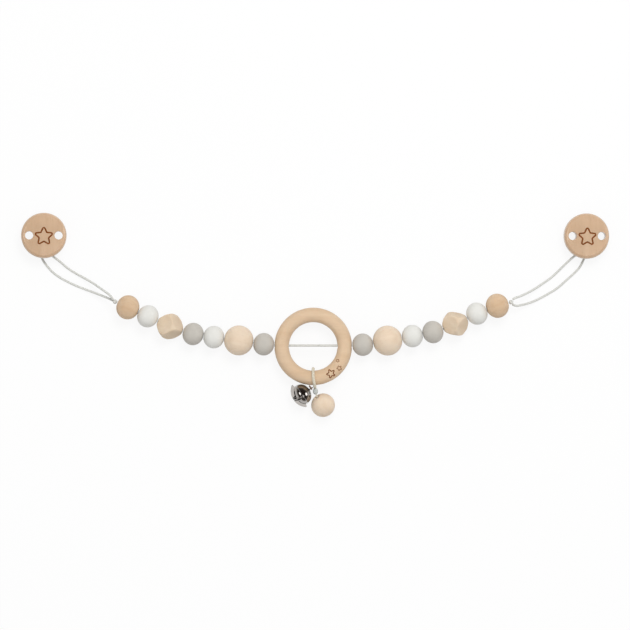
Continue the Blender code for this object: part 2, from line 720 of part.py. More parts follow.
def add_pad(side, clip):
    """The soft pad under the nose, with a lower landing in front that the cloth slides on."""
    name = f"{side}_clip_pad"
    face, top = pad_face_height(), pad_face_height() + PAD_THICKNESS
    back, step = PIN_REACH - PAD_BACK_REACH, PIN_REACH + PAD_LANDING_START
    landing = face + PAD_LANDING_STEP
    front = step + PAD_LANDING_STEP + PAD_LANDING_LENGTH
    outline = [(back, top), (back, face), (step, face), (step + PAD_LANDING_STEP, landing),
               (front, landing), (front, top)]
    return part(name, outline_mesh(name, outline, PAD_WIDTH), PLASTIC, clip, (0, 0, 0),
                STANDING)


def add_screw(name, clip, y):
    seat = frame_height() - SHEET / 2 - GAP
    head, shank = SCREW_HEAD_DIAMETER / 2, SCREW_DIAMETER / 2
    tip = seat + SCREW_LENGTH
    profile = [(0, tip), (shank, tip - shank), (shank, seat), (head, seat),
               (head, seat - SCREW_HEAD_THICKNESS / 2), (shank, seat - SCREW_HEAD_THICKNESS),
               (0, seat - SCREW_HEAD_THICKNESS)]
    return turn(part(name, profile_mesh(name, profile), STEEL, clip, (0, y, 0)),
                SCREW_SEGMENTS)


def add_clip(side, loop, place_at):
    lean = Matrix.Rotation(math.radians(CLIP_LEAN), 3, 'Y')
    disc_centre = Vector((*place_at, clip_height() - CORD_HEIGHT))
    bar = Vector((0, -STRAP_BAR_REACH, bar_height()))
    hinge = axis_empty(f"{side}_clip_axis", loop, disc_centre + lean @ bar, lean)
    clip = axis_empty(f"{side}_clip_frame_origin", hinge, -bar)
    add_disc(side, clip)
    add_frame(side, clip)
    add_lever(side, clip)
    add_pin(side, clip)
    add_pad(side, clip)
    add_screw(f"{side}_clip_screw_upper", clip, SCREW_UPPER_REACH)
    add_screw(f"{side}_clip_screw_lower", clip, -SCREW_LOWER_REACH)
    return Matrix.Translation(disc_centre) @ lean.to_4x4()


def add_loop(side, loop, over, under, crossings, clip_frame, knot_place):
    """The cord's end: out over the strap bar, round it and back under it."""
    wrap = STRAP_BAR_DIAMETER / 2 + GAP + CORD_RADIUS
    route = [Vector(p) - Vector((0, 0, CORD_HEIGHT)) for p in over]
    for i in range(WRAP_STEPS + 1):
        angle = math.pi * i / WRAP_STEPS
        along = crossings[0] + (crossings[1] - crossings[0]) * i / WRAP_STEPS
        spot = Vector((along, -STRAP_BAR_REACH + wrap * math.sin(angle),
                       bar_height() + wrap * math.cos(angle)))
        route.append(clip_frame @ spot)
    route += [Vector(p) - Vector((0, 0, CORD_HEIGHT)) for p in reversed(under)]
    name = f"{side}_cord_loop"
    part(name, tube(name, smooth_route(route, 2 * CORD_DIAMETER), CORD_DIAMETER), CORD, loop)
    add_knot(f"{side}_end_knot", KNOT_DIAMETER, CORD_DIAMETER, CORD, loop,
             (*knot_place, 0))


def below_ring(offset):
    """A place given from the ring's lowest point, in the ring's own frame."""
    return offset - Vector((0, RING_OUTER_DIAMETER / 2, 0))


def add_pendant_loop(slide):
    """The doubled cord that lies round the ring, with both legs down to the knot."""
    around = RING_SECTION / 2 + GAP + PENDANT_CORD_DIAMETER / 2
    middle = -(RING_OUTER_DIAMETER - RING_SECTION) / 2
    knot = below_ring(PENDANT_KNOT_PLACE)
    end = knot.y + PENDANT_KNOT_LENGTH / 2 + GAP
    apart = PENDANT_CORD_DIAMETER / 2 + GAP / 2
    side = knot.x * LOOP_LEG_SHIFT_SHARE
    points = [Vector((side, end, apart))]
    for forward, up in arc((0, 0), (around, around), LOOP_WRAP, -LOOP_WRAP, LOOP_STEPS):
        lean = side * max(0, -forward / around)
        points.append(Vector((lean, middle + forward, up)))
    points.append(Vector((side, end, -apart)))
    route = smooth_route(points, 2 * PENDANT_CORD_DIAMETER)
    return part("pendant_loop", tube("pendant_loop", route, PENDANT_CORD_DIAMETER, 3),
                CREAM_CORD, slide)


def heading_vector(heading, tilt=0.0):
    heading, tilt = math.radians(heading), math.radians(tilt)
    return Vector((math.cos(heading) * math.cos(tilt), math.sin(heading) * math.cos(tilt),
                   math.sin(tilt)))


def add_pendant_bead(slide):
    """The bead on its own cord, kept by a stopper knot sunk in the bead's lower end."""
    knot, bead_at = below_ring(PENDANT_KNOT_PLACE), below_ring(PENDANT_BEAD_PLACE)
    down = heading_vector(PENDANT_BEAD_HEADING, PENDANT_BEAD_TILT)
    entry = bead_at - down * PENDANT_BEAD_LENGTH / 2
    toward = (entry - knot).normalized()
    pivot = knot + toward * (PENDANT_KNOT_LENGTH / 2 + GAP / 2)
    link = axis_empty("pendant_bead_link", slide, pivot)
    stopper_at = bead_at + down * (PENDANT_BEAD_LENGTH - PENDANT_COUNTERBORE_DEPTH) / 2
    stopper_at += down * GAP
    route = smooth_route([p - pivot for p in (
        pivot + toward * GAP / 2, entry - down * MOUTH_DEPTH, entry + down * MOUTH_DIAMETER / 2,
        bead_at, stopper_at)], 2 * PENDANT_STRAND_DIAMETER)
    name = "pendant_bead_cord"
    data = mesh_from_curve(name, tube(name, route, PENDANT_STRAND_DIAMETER))
    cord = part(name, data, CREAM_CORD, link)
    core = ball_mesh(name + "_core", PENDANT_STOPPER_DIAMETER - PENDANT_STRAND_DIAMETER,
                     KNOT_SEGMENTS, KNOT_BANDS)
    boolean(cord, cutter(name + "_core", core, link, stopper_at - pivot), 'UNION')
    wind_turns(cord, PENDANT_STOPPER_DIAMETER, PENDANT_STRAND_DIAMETER, link,
               stopper_at - pivot)
    upright = Vector((0, 0, 1)).rotation_difference(down).to_matrix()
    hub = axis_empty("pendant_bead_axis", link, bead_at - pivot, upright)
    profile = round_bead_profile(PENDANT_BEAD_DIAMETER, PENDANT_BEAD_LENGTH,
                                 (PENDANT_COUNTERBORE_DIAMETER, PENDANT_COUNTERBORE_DEPTH))
    turn(part("pendant_bead", profile_mesh("pendant_bead", profile), WOOD, hub))


def bell_frame():
    """Local Z runs to the mouth, local X lies flat across it and local Y points up."""
    mouth = heading_vector(BELL_HEADING)
    across = heading_vector(BELL_HEADING + 90)
    return Matrix((across, (0, 0, 1), mouth)).transposed()


def dome(radius, height, low, steps=BELL_BANDS):
    """Points down the outer side of half an ellipse, from the pole to the height low."""
    start = math.degrees(math.asin(low / height))
    points = arc((0, 0), (radius, height), 90, start, steps)
    points[0] = (0, height)
    return points


def add_bell_cap(bell):
    name = "bell_cap"
    radius, ridge = BELL_DIAMETER / 2, BELL_RIDGE_DIAMETER / 2
    seam, lip = GAP / 2, BELL_RIDGE_HEIGHT / 2
    inside = dome(radius - BELL_SHEET, BELL_CAP_HEIGHT - BELL_SHEET, seam)
    outside = dome(radius, BELL_CAP_HEIGHT, lip)
    profile = [(x, -z) for x, z in inside] + [(ridge, -seam), (ridge, -lip)]
    profile += [(x, -z) for x, z in reversed(outside)]
    cap = turn(part(name, profile_mesh(name, profile), STEEL, bell), BELL_SEGMENTS)
    eye = torus_mesh(name + "_eye", BELL_EYE_RADIUS, BELL_EYE_WIRE_DIAMETER / 2,
                     EYE_SEGMENTS, EYE_BANDS)
    boolean(cap, cutter(name + "_eye", eye, bell, (0, 0, -BELL_EYE_DISTANCE), ALONG_X),
            'UNION')
    return cap


def bell_crest(name, bell, quarter):
    """The pair of lips along one slot: a slice of the body that all four lips lie in."""
    half = BELL_CREST_WIDTH / 2
    rise = BELL_CREST_HEIGHT - BELL_CREST_CORNER_HEIGHT
    radius = (half ** 2 + rise ** 2) / (2 * rise)
    spread = math.degrees(math.asin(half / radius))
    edge = arc((0, BELL_CREST_HEIGHT - radius), (radius, radius), 90, 90 - spread, BELL_BANDS)
    edge[0] = (0, BELL_CREST_HEIGHT)
    foot = BELL_CREST_CORNER_HEIGHT - 2 * BELL_CREST_END
    profile = edge + [(half, BELL_CREST_CORNER_HEIGHT - BELL_CREST_END),
                      (BELL_DIAMETER / 2 - BELL_SHEET, foot), (0, foot)]
    crest = turn(cutter(name, profile_mesh(name, profile), bell), BELL_SEGMENTS)
    lips = BELL_SLOT + 2 * BELL_LIP
    slab = box_mesh(name + "_slab", (BELL_CREST_WIDTH + OVERRUN, lips, 3 * BELL_CREST_HEIGHT))
    boolean(crest, cutter(name + "_slab", slab, bell, (0, 0, 0), quarter), 'INTERSECT')
    return crest


def add_bell_cup(bell):
    name = "bell_cup"
    radius, ridge = BELL_DIAMETER / 2, BELL_RIDGE_DIAMETER / 2
    seam, lip = GAP / 2, BELL_RIDGE_HEIGHT / 2
    profile = dome(radius, BELL_CUP_HEIGHT, lip) + [(ridge, lip), (ridge, seam), (0, seam)]
    cup = turn(part(name, profile_mesh(name, profile), STEEL, bell), BELL_SEGMENTS)
    quarters = (Matrix.Identity(3), Matrix.Rotation(math.pi / 2, 3, 'Z'))
    for hand, quarter in zip("ab", quarters):
        boolean(cup, bell_crest(f"{name}_crest_{hand}", bell, quarter), 'UNION')
    hollow = dome(radius - BELL_SHEET, BELL_CUP_HEIGHT - BELL_SHEET, seam)
    hollow += [(radius - BELL_SHEET, -OVERRUN), (0, -OVERRUN)]
    tool = cutter(name + "_hollow", profile_mesh(name + "_hollow", hollow), bell)
    boolean(cup, turn(tool, BELL_SEGMENTS))
    slot_foot = BELL_CREST_CORNER_HEIGHT - BELL_CREST_END
    for hand, quarter in zip("ab", quarters):
        size = (BELL_CREST_WIDTH + OVERRUN, BELL_SLOT, 2 * BELL_CREST_HEIGHT)
        tool = box_mesh(f"{name}_slot_{hand}", size)
        boolean(cup, cutter(f"{name}_slot_{hand}", tool, bell,
                            (0, 0, slot_foot + BELL_CREST_HEIGHT), quarter))
    mouth = cylinder_mesh(name + "_mouth", BELL_MOUTH_DIAMETER, BELL_CREST_HEIGHT)
    boolean(cup, cutter(name + "_mouth", mouth, bell, (0, 0, BELL_CREST_HEIGHT)))
    return cup


def add_bell(slide):
    frame = bell_frame()
    across, mouth = frame.col[0], frame.col[2]
    up = Vector((0, 0, 1))
    eye = below_ring(BELL_PLACE) - mouth * BELL_EYE_DISTANCE
    bend = TIE_HEIGHT / 2
    route = [eye + across * TIE_REACH, eye]
    for sideways, rise in arc((-TIE_TURN, bend), (-bend, bend), -90, 90, FINE_ARC_STEPS):
        route.append(eye + across * sideways + up * rise)
    route += [eye + up * TIE_HEIGHT, eye + across * TIE_REACH + up * TIE_HEIGHT]
    part("bell_tie", tube("bell_tie", route, PENDANT_STRAND_DIAMETER), CREAM_CORD, slide)
    swing = axis_empty("bell_axis", slide, eye, frame)
    bell = axis_empty("bell_centre", swing, (0, 0, BELL_EYE_DISTANCE))
    add_bell_cap(bell)
    cup_turn = Matrix.Rotation(math.radians(BELL_CUP_TURN), 3, 'Z')
    add_bell_cup(axis_empty("bell_cup_axis", bell, (0, 0, 0), cup_turn))
    roll = axis_empty("bell_pea_axis", bell)
    low = GAP + (BELL_PEA_DIAMETER - BELL_DIAMETER) / 2 + BELL_SHEET
    part("bell_pea", ball_mesh("bell_pea", BELL_PEA_DIAMETER, PEA_SEGMENTS, PEA_BANDS),
         STEEL, roll, (0, low, 0))


def add_pendant(root):
    slide = axis_empty("pendant_axis", root, (0, -RING_HANG, 0))
    add_pendant_loop(slide)
    add_knot("pendant_knot", PENDANT_KNOT_DIAMETER, PENDANT_STRAND_DIAMETER, CREAM_CORD,
             slide, below_ring(PENDANT_KNOT_PLACE),
             PENDANT_KNOT_LENGTH / PENDANT_KNOT_DIAMETER)
    add_bell(slide)
    add_pendant_bead(slide)


def build():
    root = axis_empty("toy_frame", None, (0, 0, CORD_HEIGHT))
    reach = RING_OUTER_DIAMETER / 2 + BEAD_GAP / 2 - GAP / 2
    straight_cord("cord_centre", root, (-reach, 0, 0), (reach, 0, 0))
    ring_axis = axis_empty("ring_axis", root)
    add_ring(ring_axis)
    loops = {}
    for side, headings, disc_place, over, under, crossings, knot_place in (
            ("left", LEFT_HEADINGS, LEFT_DISC_PLACE, LEFT_OVER_STRAND, LEFT_UNDER_STRAND,
             LEFT_CROSSINGS, LEFT_KNOT_PLACE),
            ("right", RIGHT_HEADINGS, RIGHT_DISC_PLACE, RIGHT_OVER_STRAND,
             RIGHT_UNDER_STRAND, RIGHT_CROSSINGS, RIGHT_KNOT_PLACE)):
        loops[side] = add_arm(side, headings, root)
        clip_frame = add_clip(side, loops[side], disc_place)
        add_loop(side, loops[side], over, under, crossings, clip_frame, knot_place)
    add_pendant(root)
    return root


def centre_on_origin(root):
    """Moves the whole toy so that the middle of its box stands over the origin."""
    bpy.context.view_layer.update()
    graph = bpy.context.evaluated_depsgraph_get()
    spots = []
    for obj in PARTS.objects:
        if obj.type != 'EMPTY':
            solid = obj.evaluated_get(graph)
            spots += [solid.matrix_world @ vertex.co for vertex in solid.to_mesh().vertices]
            solid.to_mesh_clear()
    for axis in (0, 1):
        low = min(spot[axis] for spot in spots)
        high = max(spot[axis] for spot in spots)
        root.location[axis] -= (low + high) / 2
    bpy.context.view_layer.update()


clear_scene()
PARTS = new_collection("pram_chain_toy")
CUTTERS = new_collection("cutters")
centre_on_origin(build())
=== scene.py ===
"""The looks of the pram chain toy: turned wood, lacquer, braided cord and a nickel bell."""
import json
import math

import bmesh
import bpy
from mathutils import Matrix, Vector


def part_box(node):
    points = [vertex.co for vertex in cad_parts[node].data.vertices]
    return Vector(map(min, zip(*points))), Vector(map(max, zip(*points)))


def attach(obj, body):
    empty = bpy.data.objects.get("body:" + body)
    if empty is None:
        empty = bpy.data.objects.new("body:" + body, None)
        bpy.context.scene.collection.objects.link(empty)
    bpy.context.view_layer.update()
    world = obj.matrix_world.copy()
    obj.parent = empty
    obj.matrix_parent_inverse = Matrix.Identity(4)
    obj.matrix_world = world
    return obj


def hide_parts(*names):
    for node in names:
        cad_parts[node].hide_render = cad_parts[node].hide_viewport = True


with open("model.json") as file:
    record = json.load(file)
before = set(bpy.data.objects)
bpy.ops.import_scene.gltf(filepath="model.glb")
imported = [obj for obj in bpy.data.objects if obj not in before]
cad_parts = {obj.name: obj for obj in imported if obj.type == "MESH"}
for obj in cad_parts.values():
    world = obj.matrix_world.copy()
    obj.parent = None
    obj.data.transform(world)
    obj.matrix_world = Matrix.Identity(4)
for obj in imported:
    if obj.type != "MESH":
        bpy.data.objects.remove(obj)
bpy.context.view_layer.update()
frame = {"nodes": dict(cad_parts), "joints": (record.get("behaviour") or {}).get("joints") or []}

JOINTS = {joint["name"]: joint for joint in frame["joints"]}

MM = 0.001
SIDES = ("left", "right")
GAP = 0.3 * MM

# The same driving sizes as the solids have
CORD_DIAMETER = 1.9 * MM
BORE_DIAMETER = 4.0 * MM
MOUTH_DIAMETER = 4.8 * MM
MOUTH_DEPTH = 0.5 * MM
BEAD_SIZES = {  # diameter and length
    "grey": (18.3 * MM, 16.5 * MM),
    "white": (18.3 * MM, 16.5 * MM),
    "small_wood": (19.8 * MM, 18.1 * MM),
    "large_wood": (24.3 * MM, 23.4 * MM),
}
BEAD_KINDS = ("grey", "large_wood", "white", "grey", "cut_wood", "white", "small_wood")
CUT_BEAD_LENGTHS = {"left": 22.0 * MM, "right": 21.2 * MM}
RING_OUTER_DIAMETER = 62.8 * MM
RING_SECTION = 11.8 * MM
RING_MIDDLE_RADIUS = (RING_OUTER_DIAMETER - RING_SECTION) / 2
DISC_DIAMETER = 36.8 * MM
DISC_THICKNESS = 9.0 * MM
DISC_DOME = 0.9 * MM
DISC_FRONT_ROUND = 3.4 * MM
DISC_BACK_ROUND = 1.4 * MM
VENT_DIAMETER = 6.6 * MM
VENT_SPACING = 23.8 * MM
VENT_FLARE = 0.5 * MM
STRAP_BAR_DIAMETER = 1.8 * MM
STRAP_BAR_REACH = 13.6 * MM
STRAP_BAR_DEPTH = 3.4 * MM
STRAND_DIAMETER = 1.3 * MM
PENDANT_CORD_DIAMETER = 2.6 * MM
PENDANT_KNOT_DIAMETER = 4.3 * MM
PENDANT_KNOT_LENGTH = 5.6 * MM
PENDANT_KNOT_PLACE = Vector((1.8 * MM, -4.9 * MM - RING_OUTER_DIAMETER / 2, 0.25 * MM))
LOOP_LEG_SHIFT_SHARE = 0.8
LOOP_TURN = 132.0
PENDANT_BEAD_DIAMETER = 19.4 * MM
PENDANT_BEAD_LENGTH = 18.4 * MM
COUNTERBORE_DIAMETER = 5.6 * MM
COUNTERBORE_DEPTH = 3.6 * MM
STOPPER_RADIUS = 1.55 * MM
END_KNOT_DIAMETER = 3.8 * MM
BELL_DIAMETER = 17.0 * MM
BELL_RIDGE_DIAMETER = 17.6 * MM
BELL_RIDGE_HEIGHT = 0.6 * MM
BELL_SHEET = 0.5 * MM
BELL_CAP_HEIGHT = 7.4 * MM
BELL_CUP_HEIGHT = 5.8 * MM
BELL_SLOT = 1.0 * MM
BELL_LIP = 0.45 * MM
BELL_CREST_HEIGHT = 8.3 * MM
BELL_CREST_WIDTH = 21.2 * MM
BELL_CREST_CORNER_HEIGHT = 3.1 * MM
BELL_CREST_END = 0.9 * MM
BELL_MOUTH_DIAMETER = 3.0 * MM
BELL_EYE_RADIUS = 1.4 * MM
BELL_EYE_WIRE_DIAMETER = 0.9 * MM
BELL_EYE_DISTANCE = 8.8 * MM
BELL_CUP_TURN = -12.0
TIE_HEIGHT = 3.05 * MM
TIE_REACH = 1.2 * MM
TIE_TURN = 0.7 * MM

# How finely the cords and the turned pieces are divided
CORD_STEP = 0.3 * MM
THIN_CORD_STEP = 0.2 * MM
STOPPER_STEP = 0.25 * MM
CORD_SIDES = 14
THIN_CORD_SIDES = 12
KNOT_CORE_SEGMENTS = (16, 10)
LOOP_STEPS = 10
TIE_STEPS = 8
BEAD_STEPS = 28
BEAD_SEGMENTS = 56
BORE_SEGMENTS = 32
VENT_SEGMENTS = 40
DISC_SEGMENTS = 96
DISC_STEPS = 16
RIM_STEPS = (12, 6)
VENT_STEPS = 5
CUT_BEAD_DIVISIONS = 6
BAR_STEPS = 4
BELL_SEGMENTS = 72
CREST_SEGMENTS = 96
CREST_STEPS = 18
RING_SEGMENTS = 144
RING_BANDS = 48

# The braid: its threads, the length of one turn in radii of the cord, and how far the
# threads stand up as a share of the radius, on a braided cord and on a single laid yarn
BRAID_THREADS = 8
BRAID_PITCH = 5.0
BRAID_RELIEF = 0.08
YARN_RELIEF = 0.12
# The length of one turn of the yarns of the pendant's cord
PENDANT_TWIST = 4.2 * MM
# A knot: the tilt of each turn of the strand, and how far round each one starts
KNOT_TILTS = (0.0, 62.0, 118.0)
KNOT_TURN = 35.0
KNOT_STEPS = 14

# Angles in degrees above which an edge keeps its sharp shading
WOOD_EDGE = 32
BELL_EDGE = 38
EASED_EDGE = 50
# Angle above which a solid's edge is eased, angle below which its facets are one face, and
# the distance below which its points are one
EASING_ANGLE = 25
FLAT_ANGLE = 1
WELD = 0.002 * MM
# How far the edges of the cut beads are rubbed round
CUT_BEAD_SOFTNESS = 0.45 * MM
# How far the edges of the smooth small parts are rounded
EASED_WIDTHS = {
    "frame": 0.18 * MM, "pin": 0.15 * MM, "screw_upper": 0.12 * MM, "screw_lower": 0.12 * MM,
    "lever": 0.2 * MM, "pad": 0.15 * MM, "pea": 0.05 * MM,
}
# A star's corners, and how wide its line is at the floor as a share of its width
STAR_CORNERS = 10
GROOVE_FLOOR = 0.8

# The cord's routes, as the solids have them, in millimetres: offsets from the last bead's
# outer mouth in X and Y, and the height of the cord's centre over the table
OVER_STRANDS = {
    "left": (
        (-3.0, 3.1, 13.2), (-6.6, 7.3, 13.0), (-13.3, 12.0, 9.8),
        (-20.0, 16.5, 6.2), (-26.1, 20.0, 3.6), (-33.5, 24.1, 1.8),
        (-40.0, 28.1, 1.7), (-46.5, 33.6, 3.5), (-51.9, 37.8, 5.8),
    ),
    "right": (
        (3.6, 2.5, 13.1), (6.1, 3.8, 12.4), (9.8, 5.0, 10.4),
        (16.9, 8.3, 6.8), (23.0, 11.7, 4.2), (29.0, 15.7, 2.4),
        (34.4, 19.4, 1.8), (39.1, 23.5, 2.0), (43.8, 28.2, 3.2),
        (48.8, 33.1, 4.8), (53.1, 36.9, 6.3),
    ),
}
UNDER_STRANDS = {
    "left": (
        (-3.5, 2.4, 10.9), (-7.5, 4.2, 8.6), (-15.3, 7.3, 5.0),
        (-23.3, 10.3, 2.4), (-32.1, 13.6, 1.2), (-40.2, 17.3, 1.1),
        (-48.6, 22.0, 1.1), (-55.1, 27.5, 1.3), (-60.5, 34.6, 2.0),
    ),
    "right": (
        (3.8, -1.8, 11.2), (7.1, -2.8, 8.9), (12.9, -1.7, 5.6),
        (19.6, 0.3, 3.0), (26.3, 3.3, 1.5), (33.7, 7.4, 1.1),
        (41.1, 12.1, 1.1), (47.8, 18.1, 1.1), (53.9, 23.5, 1.1),
        (58.7, 28.8, 1.4), (61.6, 34.5, 2.1),
    ),
}
# Where along the strap bar each loop goes on and comes off
CROSSINGS = {"left": (3.2 * MM, -3.5 * MM), "right": (-4.7 * MM, 1.5 * MM)}

# The engraved stars: middle, radius to the sharp tips, inner share, rounding of the line's
# corners, width and depth of the line, and turn in degrees
DISC_STAR = {"place": (0, -0.8 * MM), "radius": 8.4 * MM, "inner_share": 0.475,
             "rounding": 0.95 * MM, "line": 1.4 * MM, "depth": 0.3 * MM, "turn": 90.0}
RING_STARS = (
    {"place": (14.3 * MM, -22.0 * MM), "radius": 4.4 * MM, "inner_share": 0.41,
     "rounding": 0.47 * MM, "line": 0.9 * MM, "depth": 0.28 * MM, "turn": 45.0},
    {"place": (21.1 * MM, -17.5 * MM), "radius": 2.55 * MM, "inner_share": 0.42,
     "rounding": 0.28 * MM, "line": 0.53 * MM, "depth": 0.18 * MM, "turn": 46.0},
    {"place": (19.8 * MM, -11.5 * MM), "radius": 1.75 * MM, "inner_share": 0.42,
     "rounding": 0.25 * MM, "line": 0.46 * MM, "depth": 0.14 * MM, "turn": 54.0},
)

# The key light points at the toy's middle; its power is in watts
KEY_LIGHT_PLACE = (0.33, 0.83, 1.8)
KEY_LIGHT_SIZE = 0.8
KEY_LIGHT_POWER = 19
WORLD_STRENGTH = 0.66
# What polished metal shows: a dark ceiling, as colours by the height of the direction, and
# two soft boxes and a dim panel, as directions, cosine of the half width and brightness
CEILING = ((0.0, (0.22, 0.20, 0.19, 1)), (0.25, (0.10, 0.085, 0.075, 1)),
           (0.6, (0.03, 0.022, 0.018, 1)))
SOFT_BOXES = (
    ((-0.57, 0.0, 0.82), 0.97, 2.8),
    ((0.874, 0.142, 0.466), 0.975, 2.8),
    ((0.222, -0.341, 0.913), 0.97, 1.2),
)
SOFT_BOX_FADE = 0.012
# The table: how pale it is to the camera and in the light that it throws back, and the share
# of its look that glows
TABLE_SIZE = 4.0
TABLE_DROP = 0.02 * MM
TABLE_SEEN = 0.9
TABLE_LIT = 0.62
TABLE_GLOW = 0.88

# The photograph's frame and the camera straight above the toy
PHOTO_SIZE = 630
PIXEL = 0.81 * MM
RING_PIXEL = (313.2, 346.4)
CAMERA_HEIGHT = 2.8
SENSOR = 36.0


def linear(red, green, blue):
    """A colour in 8-bit sRGB as the linear values that a shader takes."""
    def channel(value):
        value /= 255
        return value / 12.92 if value <= 0.04045 else ((value + 0.055) / 1.055) ** 2.4
    return (channel(red), channel(green), channel(blue), 1.0)


def joint_place(name):
    return Vector(JOINTS[name]["pos_m"])


def joint_axis(name):
    return Vector(JOINTS[name]["axis"]).normalized()


def hinge(name):
    return joint_place(name), joint_axis(name)


RING_CENTRE = joint_place("pendant_slide")
CORD_HEIGHT = RING_CENTRE.z


def make_camera():
    """A long lens straight above the toy, framed as the photograph is."""
    data = bpy.data.cameras.new("camera")
    data.sensor_width = SENSOR
    data.lens = SENSOR * (CAMERA_HEIGHT - CORD_HEIGHT) / (PHOTO_SIZE * PIXEL)
    data.clip_end = 2 * CAMERA_HEIGHT
    camera = add_object("camera", data)
    camera.location = (RING_CENTRE.x + (PHOTO_SIZE / 2 - RING_PIXEL[0]) * PIXEL,
                       RING_CENTRE.y + (RING_PIXEL[1] - PHOTO_SIZE / 2) * PIXEL,
                       CAMERA_HEIGHT)
    bpy.context.scene.camera = camera


# Materials

def grey(level):
    return (level, level, level, 1.0)


WHITE = grey(1.0)


class NodeTree:
    """A node tree, with short calls for the nodes that these looks are made of."""

    def __init__(self, owner):
        owner.use_nodes = True
        self.nodes, self.links = owner.node_tree.nodes, owner.node_tree.links

    def set_inputs(self, node, inputs):
        """Gives a node's inputs their values, or links them to other nodes' outputs."""
        for key, value in inputs.items():
            if isinstance(value, bpy.types.NodeSocket):
                self.links.new(value, node.inputs[key])
            else:
                node.inputs[key].default_value = value

    def add(self, kind, output, inputs, **settings):
        """Adds a node and gives back one of its outputs."""
        node = self.nodes.new("ShaderNode" + kind)
        for key, value in settings.items():
            setattr(node, key, value)
        self.set_inputs(node, inputs)
        return node.outputs[output]

    def coordinates(self, stretch=(1, 1, 1)):
        """Object coordinates, stretched so that a texture runs long along one axis."""
        source = self.add("TexCoord", "Object", {})
        return self.add("Mapping", "Vector", {"Vector": source, "Scale": stretch})

    def noise(self, vector, scale, detail, rough, distortion=0.0):
        return self.add("TexNoise", "Fac", {
            "Vector": vector, "Scale": scale, "Detail": detail, "Roughness": rough,
            "Distortion": distortion})

    def ramp(self, factor, stops):
        """Colours between stops, each one a place from 0 to 1 and its colour."""
        node = self.nodes.new("ShaderNodeValToRGB")
        elements = node.color_ramp.elements
        for element, (place, colour) in zip(elements, (stops[0], stops[-1])):
            element.position = place
            element.color = colour
        for place, colour in stops[1:-1]:
            elements.new(place).color = colour
        self.set_inputs(node, {"Fac": factor})
        return node.outputs["Color"]

    def between(self, factor, low, high, start=0.3, end=0.7):
        return self.ramp(factor, ((start, low), (end, high)))

    def mix(self, factor, first, second, blend='MIX'):
        node = self.nodes.new("ShaderNodeMix")
        node.data_type = 'RGBA'
        node.blend_type = blend
        for name, value in (("Factor", factor), ("A", first), ("B", second)):
            found = [i for i, s in enumerate(node.inputs) if s.name == name and s.enabled]
            self.set_inputs(node, {found[0]: value})
        return [s for s in node.outputs if s.enabled][0]

    def bump(self, shader, height, strength, distance):
        normal = self.add("Bump", "Normal", {
            "Height": height, "Strength": strength, "Distance": distance})
        self.set_inputs(shader, {"Normal": normal})


def new_material(name):
    """A new material, its node tree and its shader."""
    made = bpy.data.materials.new(name)
    tree = NodeTree(made)
    return made, tree, tree.nodes["Principled BSDF"]


def wood_material(name, pale, deep, grain_axis='Z', polish=0.5, varnish=0.0):
    """Fine pale wood: soft growth bands, short dark flecks and a sanded fibre bump."""
    made, tree, shader = new_material(name)
    fibres = tree.coordinates([0.07 if axis == grain_axis else 1 for axis in 'XYZ'])
    bands = tree.noise(fibres, scale=160, detail=4, rough=0.55, distortion=0.4)
    clouds = tree.noise(tree.coordinates(), scale=60, detail=2, rough=0.5)
    flecks = tree.noise(fibres, scale=1400, detail=2, rough=0.6)
    tone = tree.between(bands, pale, deep)
    tone = tree.mix(1.0, tone, tree.between(clouds, grey(0.93), WHITE), 'MULTIPLY')
    tone = tree.mix(0.6, tone, tree.between(flecks, (0.86, 0.82, 0.78, 1), WHITE, 0.28, 0.4),
                    'MULTIPLY')
    tree.set_inputs(shader, {
        "Base Color": tone,
        "Roughness": tree.between(bands, grey(polish), grey(polish + 0.12)),
        "Specular IOR Level": 0.4, "Subsurface Weight": 0.06,
        "Subsurface Radius": (1.2, 0.7, 0.4), "Subsurface Scale": MM,
        "Coat Weight": varnish, "Coat Roughness": 0.24})
    tree.bump(shader, flecks, strength=0.25, distance=0.05 * MM)
    return made


def lacquer_material(name, colour, shade):
    """Satin lacquer on wood, with faint brush-out and a little of the wood's texture."""
    made, tree, shader = new_material(name)
    clouds = tree.noise(tree.coordinates(), scale=120, detail=3, rough=0.6)
    texture = tree.noise(tree.coordinates((1, 1, 0.15)), scale=900, detail=3, rough=0.6)
    tree.set_inputs(shader, {
        "Base Color": tree.between(clouds, shade, colour),
        "Roughness": tree.between(texture, grey(0.46), grey(0.60)),
        "Specular IOR Level": 0.4})
    tree.bump(shader, texture, strength=0.3, distance=0.04 * MM)
    return made


def burnt_material():
    """The floor of an engraved line, browned by the burning tool."""
    made, tree, shader = new_material("burnt_line")
    clouds = tree.noise(tree.coordinates(), scale=900, detail=3, rough=0.6)
    tree.set_inputs(shader, {
        "Base Color": tree.between(clouds, linear(108, 56, 12), linear(144, 80, 26)),
        "Roughness": 0.75})
    tree.bump(shader, clouds, strength=0.4, distance=0.05 * MM)
    return made


def cord_material(name, colour, shade):
    """Braided yarn: the threads of the lay are drawn along the cord's own coordinates."""
    made, tree, shader = new_material(name)
    along = tree.add("UVMap", "UV", {}, uv_map="cord")
    threads = tree.add("Mapping", "Vector", {"Vector": along, "Scale": (60, 6, 1)})
    fibres = tree.noise(threads, scale=4, detail=3, rough=0.6)
    specks = tree.noise(tree.coordinates(), scale=1500, detail=2, rough=0.5)
    tone = tree.mix(0.35, tree.between(specks, shade, colour, 0.35, 0.62),
                    tree.between(fibres, shade, colour), 'MULTIPLY')
    tree.set_inputs(shader, {"Base Color": tone, "Roughness": 0.85, "Sheen Weight": 0.3,
                             "Sheen Roughness": 0.5})
    tree.bump(shader, fibres, strength=0.6, distance=0.08 * MM)
    return made


